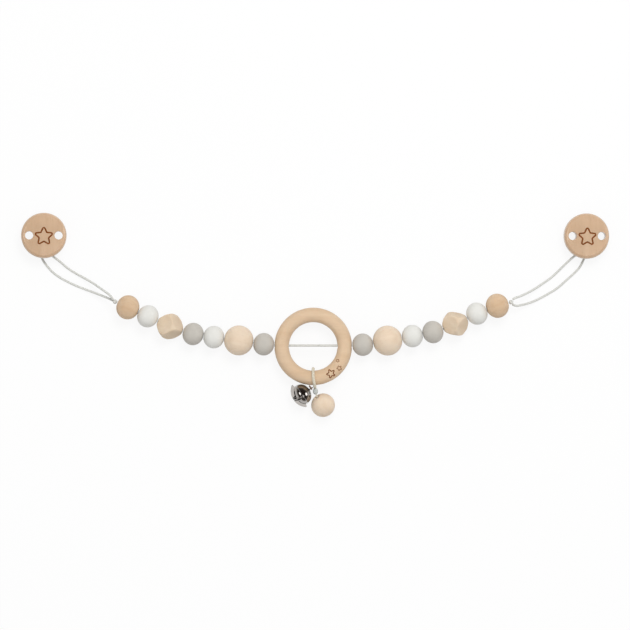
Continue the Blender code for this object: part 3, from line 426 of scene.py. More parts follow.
def metal_material(name, colour, roughness, smudge):
    """Plated metal with faint handling marks in its gloss."""
    made, tree, shader = new_material(name)
    clouds = tree.noise(tree.coordinates(), scale=240, detail=4, rough=0.6)
    scratches = tree.noise(tree.coordinates((1, 0.06, 1)), scale=2600, detail=2, rough=0.7)
    dull = tuple(value * 0.9 for value in colour[:3]) + (1,)
    tree.set_inputs(shader, {
        "Base Color": tree.between(clouds, dull, colour), "Metallic": 1.0,
        "Roughness": tree.between(clouds, grey(roughness), grey(roughness + smudge),
                                  0.35, 0.75)})
    tree.bump(shader, scratches, strength=0.08, distance=0.02 * MM)
    return made


def plastic_material():
    """Milky plastic with a fine grain."""
    made, tree, shader = new_material("milky_plastic")
    grain = tree.noise(tree.coordinates(), scale=1200, detail=3, rough=0.6)
    tree.set_inputs(shader, {
        "Base Color": tree.between(grain, linear(214, 218, 218), linear(228, 231, 231)),
        "Roughness": 0.35, "Subsurface Weight": 0.2, "Subsurface Scale": MM})
    tree.bump(shader, grain, strength=0.2, distance=0.03 * MM)
    return made


SMALL_WOOD = wood_material("small_bead_wood", linear(224, 196, 164), linear(212, 180, 146))
LARGE_WOOD = wood_material("large_bead_wood", linear(238, 219, 196), linear(229, 206, 180))
CUT_WOOD = wood_material("cut_bead_wood", linear(231, 211, 186), linear(220, 197, 169))
RING_WOOD = wood_material("ring_wood", linear(226, 199, 168), linear(217, 187, 154), 'X',
                          polish=0.45)
DISC_WOOD = wood_material("disc_wood", linear(212, 179, 147), linear(205, 171, 138), 'Y',
                          polish=0.36, varnish=1.0)
WHITE_LACQUER = lacquer_material("white_bead_lacquer", linear(229, 228, 223),
                                 linear(223, 222, 216))
GREY_LACQUER = lacquer_material("grey_bead_lacquer", linear(198, 193, 184),
                                linear(190, 185, 177))
WHITE_CORD = cord_material("white_braid", linear(233, 233, 229), linear(208, 208, 203))
CREAM_CORD = cord_material("cream_plait", linear(240, 236, 224), linear(208, 199, 178))
KNOT_CORD = cord_material("grey_knot", linear(226, 229, 226), linear(186, 191, 189))
# Painted shade: the bell's tie is darkened to brown, standing in for the shade round the bell's
# dark eye
TIE_CORD_IN_PAINTED_SHADE = cord_material("tie_in_painted_shade", linear(150, 122, 104), linear(110, 84, 68))
NICKEL = metal_material("bell_nickel", (0.42, 0.397, 0.375, 1.0), 0.10, 0.08)
STEEL = metal_material("clip_steel", (0.66, 0.66, 0.65, 1.0), 0.24, 0.12)
PLASTIC = plastic_material()
BURNT = burnt_material()

# What each kind of turned bead is finished in, and its slot
BEAD_FINISHES = {
    "small_wood": (SMALL_WOOD, "pale_wood"), "large_wood": (LARGE_WOOD, "pale_wood"),
    "white": (WHITE_LACQUER, "white_lacquer"), "grey": (GREY_LACQUER, "grey_lacquer"),
}


# Mesh helpers

def arc(centre, radii, start, end, steps):
    points = []
    for i in range(steps + 1):
        angle = math.radians(start + (end - start) * i / steps)
        points.append((centre[0] + radii[0] * math.cos(angle),
                       centre[1] + radii[1] * math.sin(angle)))
    return points


def axes_matrix(place, *axes):
    """The frame at a place whose X, Y and Z run along three directions."""
    return Matrix.Translation(place) @ Matrix(axes).transposed().to_4x4()


def upright_matrix(place, axis):
    """A frame at a place whose Z runs along an axis and whose X points up beside it."""
    above = Vector((0, 0, 1)) - axis * axis.z
    above.normalize()
    return axes_matrix(place, above, axis.cross(above), axis)


def new_mesh(name, verts, faces):
    mesh = bpy.data.meshes.new(name)
    mesh.from_pydata(verts, [], faces)
    return mesh


def finished_mesh(work, name):
    """A mesh from a bmesh, which is freed."""
    mesh = bpy.data.meshes.new(name)
    work.to_mesh(mesh)
    work.free()
    return mesh


def smooth_shade(mesh):
    for polygon in mesh.polygons:
        polygon.use_smooth = True


def smooth_with_edges(mesh, angle):
    smooth_shade(mesh)
    mesh.set_sharp_from_angle(angle=math.radians(angle))


def add_object(name, data, matrix=None):
    made = bpy.data.objects.new(name, data)
    bpy.context.scene.collection.objects.link(made)
    if matrix:
        made.matrix_world = matrix
    return made


def add_piece(name, mesh, finish, body, replaced, matrix=None):
    mesh.materials.append(finish)
    smooth_shade(mesh)
    piece = add_object(name, mesh, matrix)
    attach(piece, body)
    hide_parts(*replaced)
    return piece


def grid_faces(rows, sides, closed):
    """Quads between rows of points that each close round, and the rows too where asked."""
    faces = []
    for i in range(rows if closed else rows - 1):
        k = (i + 1) % rows
        for j in range(sides):
            m = (j + 1) % sides
            faces.append((i * sides + j, k * sides + j, k * sides + m, i * sides + m))
    return faces


def lathe_mesh(name, profile, segments):
    """Turns a closed (radius, height) profile, given down its outer side, about Z."""
    verts = []
    rings = []
    for radius, height in profile:
        if radius == 0:
            rings.append([len(verts)] * segments)
            verts.append((0, 0, height))
            continue
        rings.append(list(range(len(verts), len(verts) + segments)))
        for i in range(segments):
            angle = math.tau * i / segments
            verts.append((radius * math.cos(angle), radius * math.sin(angle), height))
    on_axis = profile[0][0] == 0 and profile[-1][0] == 0
    faces = []
    for upper, lower in zip(rings, rings[1:] + ([] if on_axis else rings[:1])):
        for i in range(segments):
            j = (i + 1) % segments
            corners = [upper[i], lower[i], lower[j], upper[j]]
            face = [c for k, c in enumerate(corners) if c != corners[k - 1]]
            if len(face) > 2:
                faces.append(face)
    return new_mesh(name, verts, faces)


def smooth_route(points, step):
    """Points about a step apart on a smooth curve through the route's own points."""
    route = [Vector(p) for p in points]
    ends = [2 * route[0] - route[1]] + route + [2 * route[-1] - route[-2]]
    smooth = [route[0]]
    for before, start, end, after in zip(ends, ends[1:], ends[2:], ends[3:]):
        pieces = max(1, round((end - start).length / step))
        for i in range(1, pieces + 1):
            t = i / pieces
            smooth.append(0.5 * (2 * start + (end - before) * t
                                 + (2 * before - 5 * start + 4 * end - after) * t ** 2
                                 + (3 * start - before - 3 * end + after) * t ** 3))
    return smooth


def even_route(points, step):
    """Points at even distances along a line of points."""
    lengths = [(b - a).length for a, b in zip(points, points[1:])]
    total = sum(lengths)
    count = max(2, round(total / step))
    even, run, index = [], 0.0, 0
    for i in range(count + 1):
        target = total * i / count
        while index < len(lengths) - 1 and run + lengths[index] < target:
            run += lengths[index]
            index += 1
        share = min(1.0, (target - run) / lengths[index])
        even.append(points[index].lerp(points[index + 1], share))
    return even


def travelling_frames(points):
    """A sideways and an upward direction at each point, with no twist along a line that
    doesn't start upright."""
    directions = []
    for i in range(len(points)):
        ahead = points[min(i + 1, len(points) - 1)] - points[max(i - 1, 0)]
        directions.append(ahead.normalized())
    side = directions[0].cross(Vector((0, 0, 1))).normalized()
    frames = []
    for i, ahead in enumerate(directions):
        if i:
            side = directions[i - 1].rotation_difference(ahead) @ side
        side = (side - ahead * side.dot(ahead)).normalized()
        frames.append((side, ahead.cross(side).normalized()))
    return frames


def run_lengths(points):
    """How far along a line of points each one lies."""
    runs = [0.0]
    for before, after in zip(points, points[1:]):
        runs.append(runs[-1] + (after - before).length)
    return runs


def braid_height(turn, along, pitch):
    """From 0 to 1, how far a braided yarn stands up at a point of the cord's surface."""
    half, lay = BRAID_THREADS / 2, math.tau * along / pitch
    left = math.cos(half * (turn + lay))
    right = math.cos(half * (turn - lay))
    over = 0.5 + 0.5 * math.sin(half * turn) * math.sin(half * lay)
    return over * left ** 2 + (1 - over) * right ** 2


def tube_mesh(name, points, radius, sides=CORD_SIDES, relief=BRAID_RELIEF):
    """A closed cord along a line of points, with its braid standing up in relief."""
    points = [Vector(p) for p in points]
    runs = run_lengths(points)
    verts = []
    for point, run, (side, up) in zip(points, runs, travelling_frames(points)):
        for j in range(sides):
            angle = math.tau * j / sides
            height = braid_height(angle, run, BRAID_PITCH * radius)
            reach = radius * (1 - relief + relief * height)
            verts.append(point + reach * (side * math.cos(angle) + up * math.sin(angle)))
    faces = [(a, d, c, b) for a, b, c, d in grid_faces(len(points), sides, closed=False)]
    first, last = len(verts), len(verts) + 1
    base = first - sides
    verts += [points[0], points[-1]]
    for j in range(sides):
        k = (j + 1) % sides
        faces += [(first, k, j), (last, base + j, base + k)]
    mesh = new_mesh(name, verts, faces)
    layer = mesh.uv_layers.new(name="cord")
    scale = 1 / (math.tau * radius)
    for polygon in mesh.polygons:
        corners = [mesh.loops[loop].vertex_index for loop in polygon.loop_indices]
        at_seam = any(corner % sides == sides - 1 for corner in corners)
        for loop, corner in zip(polygon.loop_indices, corners):
            row, column = divmod(corner, sides)
            if corner >= first:
                row, column = (0, 0) if corner == first else (len(points) - 1, 0)
            around = 1.0 if column == 0 and at_seam else column / sides
            layer.data[loop].uv = (around, runs[row] * scale)
    return mesh


def joined(name, meshes):
    """Several meshes as one."""
    work = bmesh.new()
    for mesh in meshes:
        work.from_mesh(mesh)
    return finished_mesh(work, name)


def turned_tool(name, profile, segments, matrix, finish=None):
    """A turned body that only shapes another and is then removed."""
    mesh = lathe_mesh(name, profile, segments)
    if finish:
        mesh.materials.append(finish)
    return add_object(name, mesh, matrix)


def bore_tool(name, reach, matrix, finish):
    """A rod as thick as the bore, as long as its reach to each side."""
    radius = BORE_DIAMETER / 2
    profile = [(0, reach), (radius, reach), (radius, -reach), (0, -reach)]
    return turned_tool(name, profile, BORE_SEGMENTS, matrix, finish)


def apply_modifiers(piece):
    bpy.context.view_layer.update()
    graph = bpy.context.evaluated_depsgraph_get()
    mesh = bpy.data.meshes.new_from_object(piece.evaluated_get(graph))
    piece.modifiers.clear()
    piece.data = mesh


def cut(piece, tools, operation='DIFFERENCE', keep_material=False):
    """Applies Booleans to a piece and clears their tools away."""
    for tool in tools:
        step = piece.modifiers.new("cut", 'BOOLEAN')
        step.operation = operation
        step.solver = 'EXACT'
        step.object = tool
        if keep_material:
            step.material_mode = 'TRANSFER'
    apply_modifiers(piece)
    for tool in tools:
        bpy.data.objects.remove(tool)


def star_line(star, steps=5):
    """The engraved line's middle and its sideways direction round a five-pointed star."""
    corners = []
    for i in range(STAR_CORNERS):
        angle = math.radians(star["turn"] + 360 / STAR_CORNERS * i)
        reach = star["radius"] * (1.0 if i % 2 == 0 else star["inner_share"])
        corners.append(Vector((reach * math.cos(angle), reach * math.sin(angle))))
    line = []
    for i, corner in enumerate(corners):
        before = (corners[i - 1] - corner).normalized()
        after = (corners[(i + 1) % STAR_CORNERS] - corner).normalized()
        half = before.angle(after) / 2
        middle = corner + (before + after).normalized() * star["rounding"] / math.sin(half)
        hand = 1 if i % 2 == 0 else -1
        start = corner + before * star["rounding"] / math.tan(half) - middle
        sweep = math.pi - 2 * half
        for j in range(steps + 1):
            angle = hand * sweep * j / steps
            spoke = Vector((start.x * math.cos(angle) - start.y * math.sin(angle),
                            start.x * math.sin(angle) + start.y * math.cos(angle)))
            line.append((middle + spoke, spoke.normalized() * hand))
    return line


def groove_tool(name, star, height, matrix):
    """A closed trough that cuts a star's line into a surface of the given height."""
    half, depth = star["line"] / 2, star["depth"]
    floor = GROOVE_FLOOR * half
    section = ((half, depth), (-half, depth), (-floor, -depth), (floor, -depth))
    line = star_line(star)
    verts = []
    for spot, out in line:
        x, y = star["place"][0] + spot.x, star["place"][1] + spot.y
        for sideways, rise in section:
            verts.append((x + out.x * sideways, y + out.y * sideways, height(x, y) + rise))
    mesh = new_mesh(name, verts, grid_faces(len(line), len(section), closed=True))
    mesh.materials.append(BURNT)
    return add_object(name, mesh, matrix)


# Cords

def add_straight_cord(node, start, end, body):
    """A cord from one joint to the next, half a gap short of each."""
    name = f"{node}_braid"
    shift = (end - start).normalized() * GAP / 2
    mesh = tube_mesh(name, even_route((start + shift, end - shift), CORD_STEP),
                     CORD_DIAMETER / 2)
    add_piece(name, mesh, WHITE_CORD, body, [node])


def add_link_cords():
    add_straight_cord("cord_centre", joint_place("left_bend_1"), joint_place("right_bend_1"),
                      "cord")
    for side in SIDES:
        joints = [f"{side}_bend_{number}" for number in range(1, 8)] + [f"{side}_loop_swing"]
        for number, (joint, following) in enumerate(zip(joints, joints[1:]), 1):
            add_straight_cord(f"{side}_cord_{number}", joint_place(joint),
                              joint_place(following), f"{side}_link_{number}")


def clip_frame(side):
    """The middle of a clip's strap bar, and the directions along it, forward and to the
    disc's front."""
    bar, across = hinge(f"{side}_clip_swing")
    forward = Vector((0, 1, 0))
    return bar, across, forward, across.cross(forward)


def loop_route(side):
    """The route of an end loop: out to the strap bar, round it and back."""
    pivot = joint_place(f"{side}_loop_swing")
    bar, across, forward, normal = clip_frame(side)
    wrap = STRAP_BAR_DIAMETER / 2 + GAP + CORD_DIAMETER / 2
    start, end = CROSSINGS[side]
    out, back = ([Vector((pivot.x + x * MM, pivot.y + y * MM, z * MM))
                  for x, y, z in strands[side]] for strands in (OVER_STRANDS, UNDER_STRANDS))
    turn = []
    for i in range(BAR_STEPS + 1):
        angle = math.pi * i / BAR_STEPS
        spot = across * (start + (end - start) * i / BAR_STEPS)
        turn.append(bar + spot + forward * wrap * math.sin(angle)
                    + normal * wrap * math.cos(angle))
    return out + turn + back[::-1]


def add_loops():
    for side in SIDES:
        name = f"{side}_loop_braid"
        route = even_route(smooth_route(loop_route(side), CORD_DIAMETER / 2), CORD_STEP)
        mesh = tube_mesh(name, route, CORD_DIAMETER / 2)
        loop = add_piece(name, mesh, WHITE_CORD, f"{side}_loop",
                         [f"{side}_cord_loop"])


def knot_route(centre, radius):
    """A strand wound tight into a ball: three tilted turns that run into each other."""
    points = []
    for index, tilt in enumerate(KNOT_TILTS):
        rotation = (Matrix.Rotation(math.radians(tilt), 3, 'X')
                    @ Matrix.Rotation(math.radians(KNOT_TURN * index), 3, 'Z'))
        for x, y in arc((0, 0), (radius, radius), 0, 360, KNOT_STEPS)[:-1]:
            points.append(centre + rotation @ Vector((x, y, 0)))
    return points


def add_knot(name, centre, diameter, strand, finish, body, node, stretch=1.0):
    radius = (diameter - strand) / 2
    route = smooth_route(knot_route(Vector((0, 0, 0)), radius), strand / 4)
    winding = tube_mesh(name, even_route(route, strand / 5), strand / 2, THIN_CORD_SIDES,
                        YARN_RELIEF)
    work = bmesh.new()
    around, down = KNOT_CORE_SEGMENTS
    bmesh.ops.create_uvsphere(work, u_segments=around, v_segments=down, radius=radius)
    both = joined(name, (winding, finished_mesh(work, name + "_core")))
    both.transform(Matrix.Translation(centre) @ Matrix.Diagonal((1, stretch, 1, 1)))
    add_piece(name, both, finish, body, [node])


def add_end_knots():
    for side in SIDES:
        node = f"{side}_end_knot"
        low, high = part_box(node)
        add_knot(f"{side}_knot_wound", (Vector(low) + Vector(high)) / 2, END_KNOT_DIAMETER,
                 CORD_DIAMETER, WHITE_CORD, f"{side}_loop", node)


# Beads, ring and clips

def bead_profile(diameter, length, counterbore=None):
    """A turned bead with eased mouths and, where asked, a wide sunk hole at its top."""
    radius, mouth, bore = diameter / 2, MOUTH_DIAMETER / 2, BORE_DIAMETER / 2
    height = length / 2 / math.sqrt(1 - (mouth / radius) ** 2)
    low = -math.degrees(math.asin(length / 2 / height))
    high = -low
    inner = [(bore, -length / 2 + MOUTH_DEPTH), (bore, length / 2 - MOUTH_DEPTH)]
    if counterbore:
        wide, depth = counterbore
        high = math.degrees(math.acos(wide / 2 / radius))
        inner = [(bore, -length / 2 + MOUTH_DEPTH), (bore, length / 2 - depth),
                 (wide / 2, length / 2 - depth)]
    return arc((0, 0), (radius, height), high, low, BEAD_STEPS) + inner


def add_beads():
    for side in SIDES:
        for number, kind in enumerate(BEAD_KINDS, 1):
            if kind == "cut_wood":
                continue
            joint = f"{side}_bead_{number}_spin"
            name = f"{side}_bead_{number}_turned"
            finish, slot = BEAD_FINISHES[kind]
            mesh = lathe_mesh(name, bead_profile(*BEAD_SIZES[kind]), BEAD_SEGMENTS)
            add_piece(name, mesh, finish, f"{side}_bead_{number}",
                      [f"{side}_bead_{number}_{kind}"],
                      upright_matrix(*hinge(joint)))


def eased_copy(node, name, finish, body, width, segments=2):
    """A copy of a solid whose sharp edges are rounded."""
    mesh = frame["nodes"][node].data.copy()
    mesh.name = name
    mesh.materials.clear()
    work = bmesh.new()
    work.from_mesh(mesh)
    bmesh.ops.remove_doubles(work, verts=work.verts, dist=WELD)
    bmesh.ops.dissolve_limit(work, angle_limit=math.radians(FLAT_ANGLE), verts=work.verts,
                             edges=work.edges)
    work.to_mesh(mesh)
    work.free()
    piece = add_piece(name, mesh, finish, body, [node])
    ease = piece.modifiers.new("ease", 'BEVEL')
    ease.width = width
    ease.segments = segments
    ease.limit_method = 'ANGLE'
    ease.angle_limit = math.radians(EASING_ANGLE)
    flatten = piece.modifiers.new("flatten", 'WEIGHTED_NORMAL')
    flatten.weight = 100
    apply_modifiers(piece)
    piece.data.set_sharp_from_angle(angle=math.radians(EASED_EDGE))


def cut_faces(node, centre, smallest=8 * MM * MM, nearest=3 * MM):
    """The planes of a solid's large outer faces: outward normal and distance from its middle."""
    areas, reaches = {}, {}
    for face in frame["nodes"][node].data.polygons:
        reach = face.normal.dot(face.center - centre)
        key = tuple(round(value, 2) for value in face.normal)
        if reach > nearest:
            areas[key] = areas.get(key, 0.0) + face.area
            reaches[key] = (face.normal.copy(), reach)
    return [reaches[key] for key, area in areas.items() if area > smallest]


def rubbed_reach(toward, planes, steps=6, facing=0.01):
    """How far the rubbed surface lies from the middle: a smooth blend of the cut planes."""
    slopes = [normal.dot(toward) for normal, _ in planes]
    reach = min(away / slope for slope, (_, away) in zip(slopes, planes) if slope > facing)
    for _ in range(steps):
        shares = [math.exp((reach * slope - away) / CUT_BEAD_SOFTNESS)
                  for slope, (_, away) in zip(slopes, planes)]
        whole = sum(shares)
        steepness = sum(share * slope for share, slope in zip(shares, slopes)) / whole
        reach -= CUT_BEAD_SOFTNESS * math.log(whole) / steepness
    return reach


def add_cut_beads():
    for side in SIDES:
        node, name = f"{side}_bead_5_cut_wood", f"{side}_bead_5_rubbed"
        centre, axis = hinge(f"{side}_bead_5_spin")
        reach = CUT_BEAD_LENGTHS[side] / 2
        planes = cut_faces(node, centre) + [(axis, reach), (-axis, reach)]
        work = bmesh.new()
        bmesh.ops.create_icosphere(work, subdivisions=CUT_BEAD_DIVISIONS, radius=1.0)
        for vert in work.verts:
            toward = vert.co.normalized()
            vert.co = centre + toward * rubbed_reach(toward, planes)
        bead = add_piece(name, finished_mesh(work, name), CUT_WOOD, f"{side}_bead_5",
                         [node])
        cut(bead, [bore_tool("bore", 2 * reach, upright_matrix(centre, axis), CUT_WOOD)])
        bead.data.set_sharp_from_angle(angle=math.radians(EASED_EDGE))


def torus_height(x, y):
    """The height of the ring's upper side over its middle plane."""
    off = math.hypot(x, y) - RING_MIDDLE_RADIUS
    return math.sqrt(max(0.0, (RING_SECTION / 2) ** 2 - off ** 2))


def ring_mesh(name):
    section = RING_SECTION / 2
    verts = []
    for i in range(RING_SEGMENTS):
        turn = math.tau * i / RING_SEGMENTS
        for j in range(RING_BANDS):
            lean = math.tau * j / RING_BANDS
            reach = RING_MIDDLE_RADIUS + section * math.cos(lean)
            verts.append((reach * math.cos(turn), reach * math.sin(turn),
                          section * math.sin(lean)))
    return new_mesh(name, verts, grid_faces(RING_SEGMENTS, RING_BANDS, closed=True))


def add_ring():
    name, place = "ring_turned", Matrix.Translation(RING_CENTRE)
    ring = add_piece(name, ring_mesh(name), RING_WOOD, "ring", ["wood_ring"],
                     place)
    tools = [groove_tool("ring_star", star, torus_height, place) for star in RING_STARS]
    tools.append(bore_tool("ring_bore", RING_OUTER_DIAMETER,
                           upright_matrix(RING_CENTRE, Vector((1, 0, 0))), RING_WOOD))
    cut(ring, tools, keep_material=True)
    smooth_with_edges(ring.data, WOOD_EDGE)


def clip_matrix(side):
    """The clip's own frame: the middle of the disc's back, with Z to the front."""
    bar, across, forward, normal = clip_frame(side)
    origin = bar + forward * STRAP_BAR_REACH + normal * STRAP_BAR_DEPTH
    return axes_matrix(origin, across, forward, normal)


def disc_front(radius):
    flat = DISC_DIAMETER / 2 - DISC_FRONT_ROUND
    return DISC_THICKNESS - DISC_DOME * (radius / flat) ** 2


def disc_profile():
    radius = DISC_DIAMETER / 2
    shoulder = DISC_THICKNESS - DISC_DOME
    flat = radius - DISC_FRONT_ROUND
    front = [(0, DISC_THICKNESS)]
    for i in range(1, DISC_STEPS):
        reach = flat * i / DISC_STEPS
        front.append((reach, disc_front(reach)))
    rim = arc((flat, shoulder - DISC_FRONT_ROUND), (DISC_FRONT_ROUND, DISC_FRONT_ROUND),
              90, 0, RIM_STEPS[0])
    foot = arc((radius - DISC_BACK_ROUND, DISC_BACK_ROUND),
               (DISC_BACK_ROUND, DISC_BACK_ROUND), 0, -90, RIM_STEPS[1])
    return front + rim + foot + [(0, 0)]


def vent_tool(x, place):
    """A round cutter for a vent hole, which leaves its edges rounded on both faces."""
    top, wide = disc_front(abs(x)), VENT_DIAMETER / 2 + VENT_FLARE
    flare = (VENT_FLARE, VENT_FLARE)
    profile = [(0, top + MM), (wide + MM, top + MM)]
    profile += arc((wide, top - VENT_FLARE), flare, 90, 180, VENT_STEPS)
    profile += arc((wide, VENT_FLARE), flare, 180, 270, VENT_STEPS)
    profile += [(wide + MM, -MM), (0, -MM)]
    return turned_tool("vent", profile, VENT_SEGMENTS,
                       place @ Matrix.Translation((x, 0, 0)), DISC_WOOD)


def add_discs():
    for side in SIDES:
        name = f"{side}_disc_turned"
        place = clip_matrix(side)
        disc = add_piece(name, lathe_mesh(name, disc_profile(), DISC_SEGMENTS), DISC_WOOD,
                         f"{side}_clip", [f"{side}_clip_disc"], place)
        tools = [vent_tool(hand * VENT_SPACING / 2, place) for hand in (-1, 1)]
        tools.append(groove_tool("disc_star", DISC_STAR,
                                 lambda x, y: disc_front(math.hypot(x, y)), place))
        cut(disc, tools, keep_material=True)
        smooth_with_edges(disc.data, WOOD_EDGE)


def add_clip_metal():
    for side in SIDES:
        clip = f"{side}_clip"
        for node in ("frame", "pin", "screw_upper", "screw_lower", "lever"):
            eased_copy(f"{clip}_{node}", f"{clip}_{node}_plated", STEEL,
                       f"{side}_lever" if node == "lever" else clip,
                       EASED_WIDTHS[node])
        eased_copy(f"{clip}_pad", f"{clip}_pad_moulded", PLASTIC, clip,
                   EASED_WIDTHS["pad"])


# Pendant

def pendant_loop_route():
    """Up over the ring from the knot, round it and back underneath."""
    around = RING_SECTION / 2 + GAP + PENDANT_CORD_DIAMETER / 2
    knot = PENDANT_KNOT_PLACE
    end = knot.y + PENDANT_KNOT_LENGTH / 2 + GAP
    apart = PENDANT_CORD_DIAMETER / 2 + GAP / 2
    side = knot.x * LOOP_LEG_SHIFT_SHARE
    points = [Vector((side, end, apart))]
    for forward, up in arc((0, 0), (around, around), LOOP_TURN, -LOOP_TURN,
                           LOOP_STEPS):
        points.append(Vector((side * max(0, -forward / around),
                              forward - RING_MIDDLE_RADIUS, up)))
    points.append(Vector((side, end, -apart)))
    return [RING_CENTRE + p for p in smooth_route(points, PENDANT_CORD_DIAMETER / 3)]


def add_pendant_loop():
    """Three yarns laid round each other along the doubled cord's route."""
    name = "pendant_loop_twist"
    points = even_route(pendant_loop_route(), THIN_CORD_STEP)
    yarn = off = PENDANT_CORD_DIAMETER / 4
    meshes = []
    for yarns_before in range(3):
        line = []
        for point, run, (side, up) in zip(points, run_lengths(points),
                                          travelling_frames(points)):
            angle = math.tau * (yarns_before / 3 + run / PENDANT_TWIST)
            line.append(point + off * (side * math.cos(angle) + up * math.sin(angle)))
        meshes.append(tube_mesh(name, line, yarn, THIN_CORD_SIDES, YARN_RELIEF))
    add_piece(name, joined(name, meshes), CREAM_CORD, "pendant",
              ["pendant_loop"])


def thin_tube(name, route, step=THIN_CORD_STEP):
    return tube_mesh(name, even_route(route, step), STRAND_DIAMETER / 2, THIN_CORD_SIDES)


def add_bell_tie():
    """A turn of thin cord through the bell's eye and back."""
    eye, across = hinge("bell_swing")
    up = Vector((0, 0, 1))
    bend = TIE_HEIGHT / 2
    route = [eye + across * TIE_REACH, eye]
    for sideways, rise in arc((-TIE_TURN, bend), (-bend, bend), -90, 90, TIE_STEPS):
        route.append(eye + across * sideways + up * rise)
    route += [eye + up * TIE_HEIGHT, eye + across * TIE_REACH + up * TIE_HEIGHT]
    mesh = thin_tube("bell_tie_braid", smooth_route(route, CORD_STEP))
    # The tie's brown is painted shade round the bell's eye, not a colour of its own
    add_piece(mesh.name, mesh, TIE_CORD_IN_PAINTED_SHADE, "pendant", ["bell_tie"])


def add_pendant_knot():
    add_knot("pendant_knot_wound", RING_CENTRE + PENDANT_KNOT_PLACE, PENDANT_KNOT_DIAMETER,
             STRAND_DIAMETER, KNOT_CORD, "pendant", "pendant_knot",
             PENDANT_KNOT_LENGTH / PENDANT_KNOT_DIAMETER)


def add_pendant_bead():
    middle, down = hinge("pendant_bead_spin")
    entry = middle - down * PENDANT_BEAD_LENGTH / 2
    toward = (entry - RING_CENTRE - PENDANT_KNOT_PLACE).normalized()
    stopper = middle + down * ((PENDANT_BEAD_LENGTH - COUNTERBORE_DEPTH) / 2 + GAP)
    route = smooth_route((joint_place("pendant_bead_swing") + toward * GAP / 2,
                          entry - down * MOUTH_DEPTH, entry + down * MOUTH_DIAMETER / 2,
                          middle, stopper), 2 * THIN_CORD_STEP)
    name = "pendant_bead_cord_braid"
    ball = smooth_route(knot_route(stopper, STOPPER_RADIUS), CORD_STEP)
    mesh = joined(name, (thin_tube(name, route), thin_tube("stopper", ball, STOPPER_STEP)))
    add_piece(name, mesh, CREAM_CORD, "bead_cord", ["pendant_bead_cord"])
    profile = bead_profile(PENDANT_BEAD_DIAMETER, PENDANT_BEAD_LENGTH,
                           (COUNTERBORE_DIAMETER, COUNTERBORE_DEPTH))
    name = "pendant_bead_turned"
    add_piece(name, lathe_mesh(name, profile, BEAD_SEGMENTS), LARGE_WOOD, "pendant_bead",
              ["pendant_bead"], upright_matrix(middle, down))


# Bell

def dome(radius, height, low, steps=18):
    """A quarter of an ellipse from its top down to a low height."""
    start = math.degrees(math.asin(low / height))
    return [(0, height)] + arc((0, 0), (radius, height), 90, start, steps)[1:]


def bell_matrix():
    """The bell's own frame: the pea's place, with Z out of the mouth and X across."""
    across, mouth = joint_axis("bell_swing"), joint_axis("pea_roll")
    return axes_matrix(joint_place("pea_roll"), across, mouth.cross(across), mouth)


def box_tool(name, size, matrix):
    work = bmesh.new()
    bmesh.ops.create_cube(work, size=1)
    bmesh.ops.scale(work, vec=size, verts=work.verts)
    return add_object(name, finished_mesh(work, name), matrix)


def add_bell_cap(place):
    name = "bell_cap_plated"
    radius, ridge = BELL_DIAMETER / 2, BELL_RIDGE_DIAMETER / 2
    seam, lip = GAP / 2, BELL_RIDGE_HEIGHT / 2
    inside = dome(radius - BELL_SHEET, BELL_CAP_HEIGHT - BELL_SHEET, seam)
    outside = dome(radius, BELL_CAP_HEIGHT, lip)
    profile = inside + [(ridge, seam), (ridge, lip)] + outside[::-1]
    cap = add_piece(name, lathe_mesh(name, [(x, -z) for x, z in profile], BELL_SEGMENTS),
                    NICKEL, "bell", ["bell_cap"], place)
    bpy.ops.mesh.primitive_torus_add(major_radius=BELL_EYE_RADIUS,
                                     minor_radius=BELL_EYE_WIRE_DIAMETER / 2,
                                     major_segments=36, minor_segments=14)
    eye = bpy.context.object
    eye.matrix_world = (place @ Matrix.Translation((0, 0, -BELL_EYE_DISTANCE))
                        @ Matrix.Rotation(math.pi / 2, 4, 'Y'))
    cut(cap, [eye], 'UNION')
    smooth_with_edges(cap.data, BELL_EDGE)


def crest_profile():
    """The outline of a petal's lips from the bell's axis out: an arch and its corner."""
    half = BELL_CREST_WIDTH / 2
    rise = BELL_CREST_HEIGHT - BELL_CREST_CORNER_HEIGHT
    bow = (half ** 2 + rise ** 2) / (2 * rise)
    spread = math.degrees(math.asin(half / bow))
    arch = arc((0, BELL_CREST_HEIGHT - bow), (bow, bow), 90, 90 - spread, CREST_STEPS)
    foot = BELL_CREST_CORNER_HEIGHT - 2 * BELL_CREST_END
    return [(0, BELL_CREST_HEIGHT)] + arch[1:] + [
        (half, BELL_CREST_CORNER_HEIGHT - BELL_CREST_END),
        (BELL_DIAMETER / 2 - BELL_SHEET, foot), (0, foot)]


